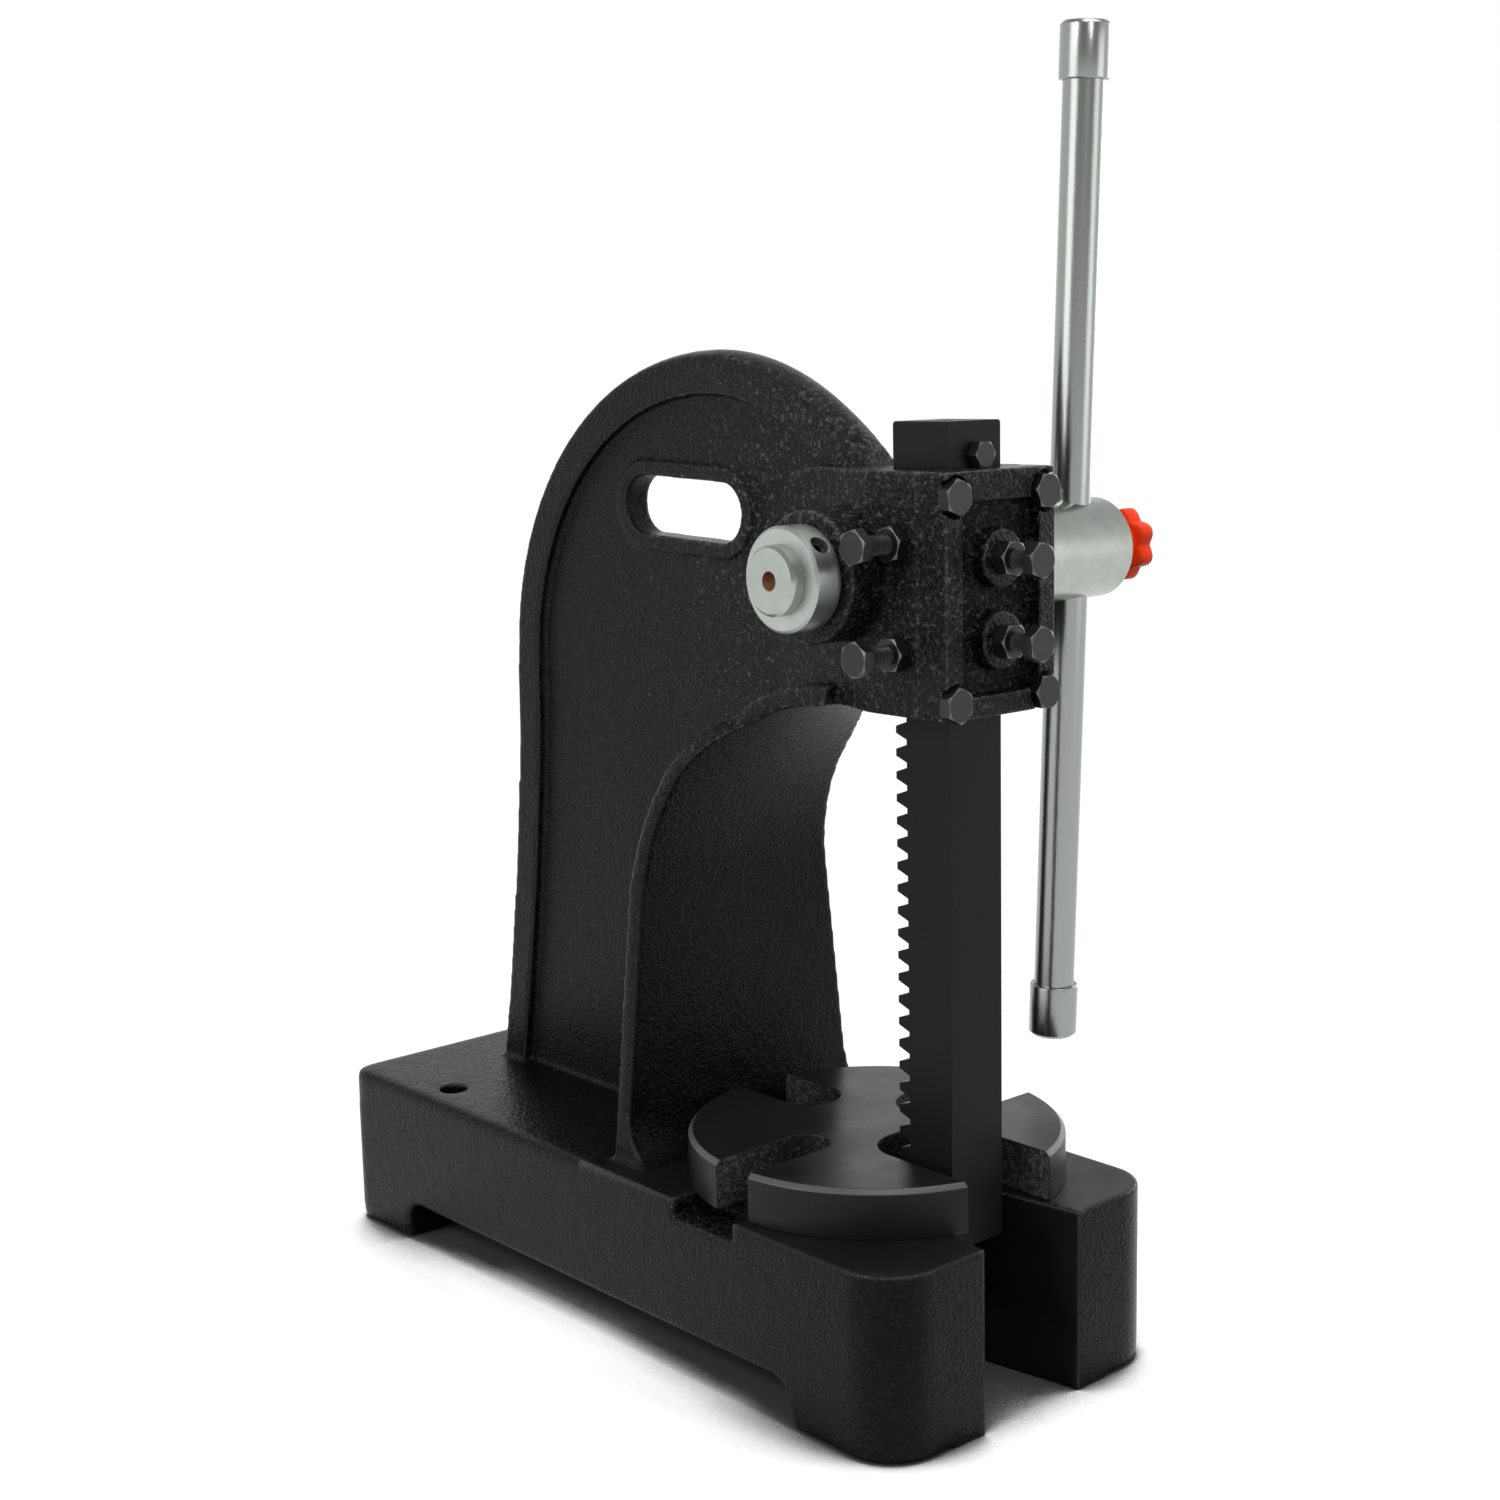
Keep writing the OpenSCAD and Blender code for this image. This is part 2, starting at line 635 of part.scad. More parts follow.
// Long adjusting screw in the cover, with its dog point in the front gib
module front_screw(level) {
    head_y = boss_y - nut_t - front_screw_show;
    tip = front_gib_y + front_dog;
    color("#3a3a3a")
    union() {
        hex_y(head_y - hex_t, head_y, 0, level);
        rod_y(head_y, front_gib_y - slide_gap, screw_d / 2, 0, level, small_fn);
        rod_y(head_y, tip, dog_d / 2, 0, level, small_fn);
    }
}
module front_nut(level) {
    color("#3a3a3a")
    difference() {
        hex_y(boss_y - nut_t, boss_y, 0, level);
        rod_y(boss_y - nut_t - cut, boss_y + cut, screw_d / 2 + thread_gap, 0, level, small_fn);
    }
}
module front_gib() {
    color("#6d6a5f")
    difference() {
        block(-gib_w / 2, gib_w / 2, front_gib_y, -guide_half, head_mid - gib_h / 2, head_mid + gib_h / 2);
        for (level = front_levels)
            rod_y(front_gib_y - cut, front_gib_y + front_dog, dog_d / 2 + thread_gap, 0, level, small_fn);
    }
}

module side_screw(level) {
    head_x = -head_half - nut_t - side_screw_show;
    tip = side_gib_x + side_dog;
    color("#3a3a3a")
    union() {
        hex_x(head_x - hex_t, head_x, -side_screw_front, level);
        rod_x(head_x, side_gib_x, screw_d / 2, -side_screw_front, level, small_fn);
        rod_x(head_x, tip, dog_d / 2, -side_screw_front, level, small_fn);
    }
}
module side_nut(level) {
    color("#3a3a3a")
    difference() {
        hex_x(-head_half - nut_t, -head_half, -side_screw_front, level);
        rod_x(-head_half - nut_t - cut, cut - head_half, screw_d / 2 + thread_gap, -side_screw_front, level,
            small_fn);
    }
}
module side_gib() {
    color("#6d6a5f")
    difference() {
        block(side_gib_x, -guide_half, -gib_w / 2, gib_w / 2, head_mid - gib_h / 2, head_mid + gib_h / 2);
        for (level = side_levels)
            rod_x(side_gib_x - cut, side_gib_x + side_dog, dog_d / 2 + thread_gap, -side_screw_front, level,
                small_fn);
    }
}

// One tooth space of the rack, from a tooth's middle to the next one's
function rack_space(z) = let (
    tan_a = tan(pressure_angle),
    tip_half = pitch / 4 - rack_tip * tan_a,
    root_half = pitch / 4 - rack_root * tan_a)
    [[ram_half, z + tip_half], [pitch_y - rack_root, z + pitch / 2 - root_half],
        [pitch_y - rack_root, z + pitch / 2 + root_half], [ram_half, z + pitch - tip_half]];

module ram() {
    chamfer = ram_side * ram_chamfer_share;
    rack = [for (i = [0 : rack_teeth - 2]) each rack_space(rack_z + i * pitch)];
    lowest = rack_space(rack_z - pitch);
    highest = rack_space(rack_z + (rack_teeth - 1) * pitch);
    color("#3c3d3e")
    difference() {
        intersection() {
            along_x(-ram_half, ram_half)
                polygon(concat([[-ram_half, ram_bottom], [ram_half, ram_bottom]],
                    lowest, rack, highest, [[ram_half, ram_top], [-ram_half, ram_top]]));
            along_y(-ram_side, ram_side)
                polygon([[-ram_half, ram_bottom + chamfer], [chamfer - ram_half, ram_bottom],
                    [ram_half - chamfer, ram_bottom], [ram_half, ram_bottom + chamfer],
                    [ram_half, ram_top - chamfer], [ram_half - chamfer, ram_top],
                    [chamfer - ram_half, ram_top], [-ram_half, ram_top - chamfer]]);
        }
        rod_y(-ram_side, stop_depth - ram_half, stop_screw_d / 2 + thread_gap, stop_side, stop_z, small_fn);
        translate([0, 0, ram_top - ram_centre_d / 2])
            cylinder(d1 = 0, d2 = ram_centre_d, h = ram_centre_d / 2, $fn = small_fn);
    }
}
module stop_bolt() {
    color("#3a3a3a")
    union() {
        hex_y(-ram_half - stop_hex_t, -ram_half, stop_side, stop_z, stop_hex_w);
        rod_y(-ram_half, stop_depth - ram_half - slide_gap, stop_screw_d / 2, stop_side, stop_z, small_fn);
    }
}

// Involute flank of the pinion, from the base circle out to its tips
function involute_angle(r) = let (a = acos(base_circle_r / r)) tan(a) * 180 / PI - a;
tooth_half_angle = (pitch / 2 + 2 * shift_share * gear_module * tan(pressure_angle) - backlash) / 2 / pitch_r
    * 180 / PI + involute_angle(pitch_r);
flank_steps = 5;
function flank(side) = [for (i = [0 : flank_steps]) let (
    r = base_circle_r + (pinion_tip_r - base_circle_r) * i / flank_steps,
    a = side * (tooth_half_angle - involute_angle(r)))
    [r * cos(a), r * sin(a)]];
function tooth_outline() = let (a = tooth_half_angle)
    concat([[pinion_root_r * cos(-a), pinion_root_r * sin(-a)]], flank(-1),
        [for (i = [flank_steps : -1 : 0]) flank(1)[i]], [[pinion_root_r * cos(a), pinion_root_r * sin(a)]]);
function turned(points, a) = [for (p = points) [p[0] * cos(a) - p[1] * sin(a), p[0] * sin(a) + p[1] * cos(a)]];

// A space of the pinion faces the rack tooth nearest to the shaft
mesh_turn = (rack_z - shaft_z) / pitch_r * 180 / PI;
module pinion_profile() {
    step = 360 / pinion_teeth;
    start = 180 + step / 2 - mesh_turn;
    polygon([for (i = [0 : pinion_teeth - 1]) each turned(tooth_outline(), start + i * step)]);
}

module pinion_shaft() {
    color("#b4b8b3")
    difference() {
        union() {
            along_x(-guide_half, guide_half) translate([shaft_y, shaft_z]) pinion_profile();
            rod_x(guide_half, hub_start, journal_big_d / 2, shaft_y, shaft_z);
            rod_x(-shaft_left, -guide_half, journal_small_d / 2, shaft_y, shaft_z);
            rod_x(hub_start, hub_end, hub_d / 2, shaft_y, shaft_z);
        }
        translate([bar_x, shaft_y, shaft_z]) rotate([bar_lean, 0, 0])
            translate([0, 0, -hub_d]) cylinder(r = bar_d / 2 + bore_gap, h = 2 * hub_d, $fn = round_fn);
        rod_x(bar_x, hub_end + cut, clamp_d / 2 + bore_gap, shaft_y, shaft_z, small_fn);
        translate([-shaft_left, shaft_y, shaft_z]) rotate([0, 90, 0])
            cylinder(d1 = centre_hole_d, d2 = 0, h = centre_hole_d, $fn = small_fn);
        translate([-(collar_start + collar_len / 2), shaft_y, shaft_z]) rotate([90 - collar_screw_angle, 0, 0])
            translate([0, 0, journal_small_d / 2 - dimple])
                cylinder(d = screw_d + 2 * thread_gap, h = screw_d, $fn = small_fn);
    }
}
centre_hole_share = 0.28;
centre_hole_d = journal_small_d * centre_hole_share;
dimple_share = 0.04;
dimple = journal_small_d * dimple_share;

module shaft_collar() {
    mid = -(collar_start + collar_len / 2);
    color("#c4c8c2")
    difference() {
        rod_x(-(collar_start + collar_len), -collar_start, collar_d / 2, shaft_y, shaft_z);
        rod_x(-(collar_start + collar_len) - cut, cut - collar_start, journal_small_d / 2 + thread_gap,
            shaft_y, shaft_z);
        translate([mid, shaft_y, shaft_z]) rotate([90 - collar_screw_angle, 0, 0])
            cylinder(r = screw_d / 2 + thread_gap, h = collar_d, $fn = small_fn);
    }
}
// Grub screw with a hexagon socket, sunk in the collar
module collar_screw() {
    from = journal_small_d / 2 - dimple;
    reach = (collar_d - journal_small_d) / 2 * grub_share;
    socket = screw_d * socket_share;
    color("#2e2e2e")
    translate([-(collar_start + collar_len / 2), shaft_y, shaft_z]) rotate([90 - collar_screw_angle, 0, 0])
        difference() {
            translate([0, 0, from]) cylinder(d = screw_d, h = reach, $fn = small_fn);
            translate([0, 0, from + reach / 2]) cylinder(d = socket, h = reach, $fn = 6);
        }
}
grub_share = 0.8;
socket_share = 0.55;

// Frame of the handle bar: its own Z runs along the bar, from the middle of the hub
module on_bar() {
    translate([bar_x, shaft_y, shaft_z]) rotate([bar_lean, 0, 0]) children();
}
module handle_bar() {
    half = bar_len / 2 - cap_len + cap_hold;
    color("#c9ccca")
    on_bar() rod_z(-half, half, bar_d / 2);
}
module bar_cap(side) {
    color("#c9ccca")
    on_bar() rotate([side < 0 ? 180 : 0, 0, 0])
        difference() {
            union() {
                rod_z(bar_len / 2 - cap_len, bar_len / 2 - cap_edge, cap_d / 2);
                translate([0, 0, bar_len / 2 - cap_edge])
                    cylinder(d1 = cap_d, d2 = cap_d - 2 * cap_edge, h = cap_edge, $fn = round_fn);
            }
            rod_z(bar_len / 2 - cap_len - cut, bar_len / 2 - cap_len + cap_hold, bar_d / 2 + thread_gap);
        }
}
cap_edge_share = 0.07;
cap_edge = cap_d * cap_edge_share;

module lock_knob() {
    lobe_r = knob_r * lobe_share;
    neck_end = hub_end + slide_gap + knob_neck_len;
    color("#e8381a")
    difference() {
        union() {
            rod_x(hub_end + slide_gap, neck_end + cut, knob_neck_d / 2, shaft_y, shaft_z);
            along_x(neck_end, neck_end + knob_t) translate([shaft_y, shaft_z])
                union() {
                    circle(r = knob_r - lobe_r / 2, $fn = round_fn);
                    for (i = [0 : knob_lobes - 1])
                        rotate(i * 360 / knob_lobes + knob_turn) translate([knob_r - lobe_r, 0])
                            circle(r = lobe_r, $fn = small_fn);
                }
        }
        rod_x(hub_end - cut, neck_end + knob_t / 2, clamp_d / 2 + thread_gap, shaft_y, shaft_z, small_fn);
    }
}
lobe_share = 0.26;
knob_turn = 103;

module clamp_screw() {
    knob_hold = hub_end + slide_gap + knob_neck_len + knob_t / 2;
    color("#8b8d8c")
    rod_x(clamp_end, knob_hold, clamp_d / 2, shaft_y, shaft_z, small_fn);
}

// Slot with a round end that runs out past the rim, pointing along +X
module plate_slot(w, reach, turn, off) {
    translate([plate_x, plate_y, pad_h - cut]) rotate(turn) translate([0, off, 0])
        linear_extrude(plate_t + 2 * cut)
            union() {
                translate([reach + w / 2, 0]) circle(r = w / 2, $fn = round_fn);
                translate([reach + w / 2, -w / 2]) square([plate_d, w]);
            }
}
module anvil_plate() {
    bottom = pad_h + slide_gap;
    color("#353637")
    difference() {
        union() {
            rod_z(bottom, plate_top - plate_chamfer, plate_r, plate_x, plate_y, 2 * round_fn);
            translate([plate_x, plate_y, plate_top - plate_chamfer])
                cylinder(r1 = plate_r, r2 = plate_r - plate_chamfer, h = plate_chamfer, $fn = 2 * round_fn);
        }
        plate_slot(left_slot_w, left_slot_in, 180, -left_slot_w * left_slot_off_share);
        plate_slot(rear_slot_w, rear_slot_in, 90, -rear_slot_w * rear_slot_off_share);
        plate_slot(right_slot_w, right_slot_in, 0, 0);
        front_plate_slot();
        rod_z(bottom - cut, bottom + pivot_up, pivot_d / 2 + bore_gap, plate_x, plate_y, small_fn);
    }
}
// The front slot is wide and its end is flatter than a half circle
module front_plate_slot() {
    r = front_slot_w * front_slot_round_share;
    half = front_slot_w / 2;
    end_y = -front_slot_in;
    translate([plate_x, plate_y, pad_h - cut])
        linear_extrude(plate_t + 2 * cut)
            polygon(concat([[-half, -plate_d], [half, -plate_d]],
                arc(half - r, end_y - r, r, 0, 90), arc(r - half, end_y - r, r, 90, 180)));
}
front_slot_round_share = 0.36;

module plate_pivot() {
    color("#6f7170")
    rod_z(pad_h - pivot_depth, pad_h + pivot_up, pivot_d / 2, plate_x, plate_y, small_fn);
}

frame_casting();
front_cover();
cover_bolt(0);  // cover_bolt_top_left
cover_bolt(1);  // cover_bolt_top_right
cover_bolt(2);  // cover_bolt_bottom_left
cover_bolt(3);  // cover_bolt_bottom_right
front_screw(front_levels[0]);  // front_screw_upper
front_screw(front_levels[1]);  // front_screw_lower
front_nut(front_levels[0]);  // front_nut_upper
front_nut(front_levels[1]);  // front_nut_lower
front_gib();
side_screw(side_levels[0]);  // side_screw_upper
side_screw(side_levels[1]);  // side_screw_lower
side_nut(side_levels[0]);  // side_nut_upper
side_nut(side_levels[1]);  // side_nut_lower
side_gib();
ram();
stop_bolt();
pinion_shaft();
shaft_collar();
collar_screw();
handle_bar();
bar_cap(1);  // bar_cap_upper
bar_cap(-1);  // bar_cap_lower
lock_knob();
clamp_screw();
anvil_plate();
plate_pivot();
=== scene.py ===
"""Rack and pinion arbor press, dressed for the camera.

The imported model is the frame: its pieces keep their places and sizes. Each section below
makes one piece of the press, or a group of like pieces, in the order of assembly.
"""
import math
import bmesh
import bpy
from mathutils import Matrix, Vector


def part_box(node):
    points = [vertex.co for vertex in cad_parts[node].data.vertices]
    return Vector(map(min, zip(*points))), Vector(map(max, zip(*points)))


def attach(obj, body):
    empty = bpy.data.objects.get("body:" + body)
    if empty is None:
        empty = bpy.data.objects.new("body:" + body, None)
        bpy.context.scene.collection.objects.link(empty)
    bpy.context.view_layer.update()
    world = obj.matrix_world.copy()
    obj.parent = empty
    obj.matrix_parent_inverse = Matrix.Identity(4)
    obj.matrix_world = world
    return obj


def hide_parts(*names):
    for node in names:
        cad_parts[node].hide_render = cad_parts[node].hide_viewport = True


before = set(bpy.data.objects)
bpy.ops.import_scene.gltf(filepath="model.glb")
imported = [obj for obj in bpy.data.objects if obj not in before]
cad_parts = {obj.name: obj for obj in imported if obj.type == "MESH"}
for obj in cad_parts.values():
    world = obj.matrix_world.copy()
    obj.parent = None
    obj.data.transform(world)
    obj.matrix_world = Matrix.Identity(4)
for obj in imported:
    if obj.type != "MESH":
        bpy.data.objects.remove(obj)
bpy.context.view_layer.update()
mm = 0.001


# The studio. The camera stands in front of the press and to its left, and looks a little downwards.
# A white sweep fills the ground, four soft panels and three small lamps light the press, and the room
# that the metals mirror is white behind the press and darker on the camera's side.
lens_mm, film_mm = 54.225, 36
camera_at = Vector((-0.65543, -0.62624, 0.42906))
camera_azimuth, camera_elevation, camera_roll = (math.radians(a) for a in (-41.21, 9.81, -1.23))
back = Vector((math.sin(camera_azimuth) * math.cos(camera_elevation),
               -math.cos(camera_azimuth) * math.cos(camera_elevation), math.sin(camera_elevation)))
level = Vector((math.cos(camera_azimuth), math.sin(camera_azimuth), 0))
above = back.cross(level)
across = level * math.cos(camera_roll) + above * math.sin(camera_roll)
upward = above * math.cos(camera_roll) - level * math.sin(camera_roll)
camera_data = bpy.data.cameras.new("camera")
camera_data.lens = lens_mm
camera_data.sensor_width = film_mm
camera_data.clip_start = 10 * mm
camera = bpy.data.objects.new("camera", camera_data)
camera.matrix_world = Matrix.Translation(camera_at) @ Matrix((across, upward, back)).transposed().to_4x4()
bpy.context.collection.objects.link(camera)
bpy.context.scene.camera = camera
bpy.context.scene.view_settings.view_transform = "Standard"


def linear(hex_code):
    """Turns an sRGB hex colour into the linear colour that a shader takes."""
    parts = [int(hex_code[i:i + 2], 16) / 255 for i in (1, 3, 5)]
    return tuple(p / 12.92 if p <= 0.04045 else ((p + 0.055) / 1.055) ** 2.4 for p in parts) + (1,)


def feed(tree, node, links):
    """Gives each socket of a node a value, or the socket that feeds it."""
    for socket, source in links.items():
        if isinstance(source, bpy.types.NodeSocket):
            tree.links.new(source, node.inputs[socket])
        else:
            node.inputs[socket].default_value = source


def add(tree, kind, links=None, **settings):
    """Adds a node to a tree."""
    made = tree.nodes.new("ShaderNode" + kind)
    for name, value in settings.items():
        setattr(made, name, value)
    feed(tree, made, links or {})
    return made


def white_to_the_eye(tree, mirrored, lighting):
    """White where the camera looks past the press. Mirrors and glass see one level, the press is lit
    by another."""
    rays = add(tree, "LightPath")
    mirror = add(tree, "Math", {0: rays.outputs["Is Glossy Ray"], 1: rays.outputs["Is Transmission Ray"]},
                 operation="MAXIMUM")
    level = add(tree, "Mix", {0: mirror.outputs[0], 2: lighting, 3: mirrored})
    return add(tree, "Mix", {0: rays.outputs["Is Camera Ray"], 2: level.outputs[0], 3: 1.0})


world = bpy.data.worlds.new("studio")
bpy.context.scene.world = world
world.use_nodes = True
tree = world.node_tree
tree.nodes.clear()
away = Vector((-back.x, -back.y, 0)).normalized()
camera_side, camera_side_ends, sky_starts = 0.35, -0.8, 0.25
overhead, eye_height, overhead_starts = 0.5, 0.15, 0.8
room_light = 0.5
facing = add(tree, "TexCoord").outputs["Generated"]
along = add(tree, "VectorMath", {0: facing, 1: away}, operation="DOT_PRODUCT")
behind = add(tree, "MapRange", {"Value": along.outputs["Value"], "From Min": camera_side_ends,
                                "From Max": sky_starts, "To Min": camera_side, "To Max": 1.0},
             interpolation_type="SMOOTHSTEP")
height = add(tree, "SeparateXYZ", {"Vector": facing})
under = add(tree, "MapRange", {"Value": height.outputs[2], "From Min": eye_height,
                               "From Max": overhead_starts, "To Min": 1.0, "To Max": overhead},
            interpolation_type="SMOOTHSTEP")
shown = add(tree, "Math", {0: behind.outputs[0], 1: under.outputs[0]}, operation="MULTIPLY")
seen = white_to_the_eye(tree, shown.outputs[0], room_light)
room = add(tree, "Background", {"Color": linear("#FFFFFF"), "Strength": seen.outputs[0]})
add(tree, "OutputWorld", {"Surface": room.outputs[0]})

# The floor glows white, and a painted contact shadow darkens it to nothing where the press shuts out the open
# sky above it.
floor_half, floor_drop, contact_reach = 9.0, 0.05 * mm, 90 * mm
shut_in, open_ground = 0.5, 0.71
floor_mesh = bmesh.new()
bmesh.ops.create_grid(floor_mesh, x_segments=1, y_segments=1, size=floor_half)
bmesh.ops.translate(floor_mesh, vec=(0, 0, -floor_drop), verts=floor_mesh.verts)
floor_data = bpy.data.meshes.new("floor")
floor_mesh.to_mesh(floor_data)
floor = bpy.data.objects.new("floor", floor_data)
bpy.context.collection.objects.link(floor)
paper = bpy.data.materials.new("white_paper_sweep")
paper.use_nodes = True
tree = paper.node_tree
tree.nodes.clear()
matt = add(tree, "BsdfDiffuse", {"Color": linear("#505050")})
seen = white_to_the_eye(tree, 1.0, 0.0)
open_sky = add(tree, "AmbientOcclusion", {"Distance": contact_reach}, samples=16)
shade = add(tree, "MapRange", {"Value": open_sky.outputs["AO"], "From Min": shut_in,
                               "From Max": open_ground}, interpolation_type="SMOOTHSTEP")
strength = add(tree, "Math", {0: seen.outputs[0], 1: shade.outputs[0]}, operation="MULTIPLY")
glow = add(tree, "Emission", {"Color": linear("#FFFFFF"), "Strength": strength.outputs[0]})
lit = add(tree, "AddShader", {0: matt.outputs[0], 1: glow.outputs[0]})
add(tree, "OutputMaterial", {"Surface": lit.outputs[0]})
floor_data.materials.append(paper)

look_at = Vector((0.0, 0.11, 0.25))
for name, place, size, watts in (
        ("panel_left", (-1.7, 0.4, 0.8), (1.2, 1.4), 12),
        ("panel_front", (1.0, -1.6, 0.5), (1.0, 0.8), 4),
        ("panel_top", (0.3, -0.3, 1.9), (1.0, 1.0), 9),
        ("panel_right", (2.0, 0.2, 0.7), (1.0, 1.0), 8),
        ("spot_left", (-1.2, 0.1, 1.0), (0.10, 0.10), 3),
        ("spot_front", (-0.5, -1.3, 1.0), (0.10, 0.10), 3),
        ("spot_high", (-0.5, -0.5, 1.5), (0.10, 0.10), 3)):
    lamp = bpy.data.lights.new(name, "AREA")
    lamp.shape = "RECTANGLE"
    lamp.size, lamp.size_y = size
    lamp.energy = watts
    held = bpy.data.objects.new(name, lamp)
    held.location = place
    held.rotation_euler = (look_at - Vector(place)).to_track_quat("-Z", "Y").to_euler()
    bpy.context.collection.objects.link(held)


# The frame casting. It is one piece of grey iron: base, ribbed column, throat flange and head,
# with the corners rounded as the sand left them. A thick black paint that dries in grains covers it,
# and the deck under the plate and the walls of the front slot are milled.
sharp_turn, weld = math.radians(24), 0.002 * mm
casting_skin, cover_skin, faces_kept = 1.1 * mm, 0.7 * mm, 0.2


def finished(mesh, name, body, replaced, paints):
    """Makes an object of a bmesh, which rides on a body and stands for CAD nodes."""
    data = bpy.data.meshes.new(name)
    mesh.to_mesh(data)
    mesh.free()
    data.shade_smooth()
    data.set_sharp_from_angle(angle=sharp_turn)
    for paint in paints:
        data.materials.append(paint)
    made = bpy.data.objects.new(name, data)
    bpy.context.collection.objects.link(made)
    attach(made, body)
    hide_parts(*replaced)
    return made


def kept_flat(piece):
    """Makes the large faces of a machined piece shade flat beside their broken edges."""
    even = piece.modifiers.new("flat faces", "WEIGHTED_NORMAL")
    even.weight = 100
    even.keep_sharp = True
    applied(piece)
    return piece


def applied(piece):
    """Fixes the modifiers of a piece in its mesh."""
    bpy.context.view_layer.update()
    shape = bpy.data.meshes.new_from_object(piece.evaluated_get(bpy.context.evaluated_depsgraph_get()))
    piece.modifiers.clear()
    piece.data = shape


def merged_copy(node):
    """A merged copy of a CAD node's mesh, as a bmesh."""
    mesh = bmesh.new()
    mesh.from_mesh(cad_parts[node].data)
    bmesh.ops.remove_doubles(mesh, verts=mesh.verts, dist=weld)
    return mesh


def new_paint(name):
    """An empty material, with its node tree, its shader and the piece's own coordinates."""
    made = bpy.data.materials.new(name)
    made.use_nodes = True
    tree = made.node_tree
    return made, tree, tree.nodes["Principled BSDF"], add(tree, "TexCoord").outputs["Object"]


def noise(tree, place, size_mm, detail, **more):
    """A noise whose grains are about as wide as size_mm."""
    links = {"Vector": place, "Scale": 1 / (size_mm * mm), "Detail": detail}
    return add(tree, "TexNoise", {**links, **more}).outputs["Fac"]


def between(tree, share, first, second):
    """Goes from one colour to another."""
    return add(tree, "Mix", {"Factor": share, 6: linear(first) if isinstance(first, str) else first,
                             7: linear(second)}, data_type="RGBA").outputs[2]


def skinned(piece, voxel):
    """Lays one skin of even faces over a casting, and returns it as a bmesh."""
    remesh = piece.modifiers.new("cast skin", "REMESH")
    remesh.mode = "VOXEL"
    remesh.voxel_size = voxel
    applied(piece)
    mesh = bmesh.new()
    mesh.from_mesh(piece.data)
    return mesh


def smoothed(mesh, spots, turns):
    """Rubs a mesh smooth round the spots, a little at each turn."""
    for turn in range(turns):
        bmesh.ops.smooth_vert(mesh, verts=spots, factor=0.5, use_axis_x=True, use_axis_y=True, use_axis_z=True)


def eased(value, low, high):
    """Goes from 0 at low to 1 at high, with soft ends."""
    share = min(max((value - low) / (high - low), 0), 1)
    return share * share * (3 - 2 * share)


grain_mm, grain_high_mm, wave_mm, wave_high_mm = 1.5, 1.5, 9, 1.0
glint_mm, glint_patch_mm, glint_line = 0.65, 2.6, 0.05
head_zone_at = Vector((0, 40, 345)) * mm
head_zone_r, far_zone_r = 50 * mm, 190 * mm
no_glints, edge_glints, glint_level, patch_from, patch_to = -0.26, 0.2, 0.55, 0.61, 0.76
crease_shade_from, crease_shade_to, edge_highlight_from, edge_highlight_to = 0.43, 0.49, 0.515, 0.56
crest_light_from, crest_light_to = 0.48, 0.66


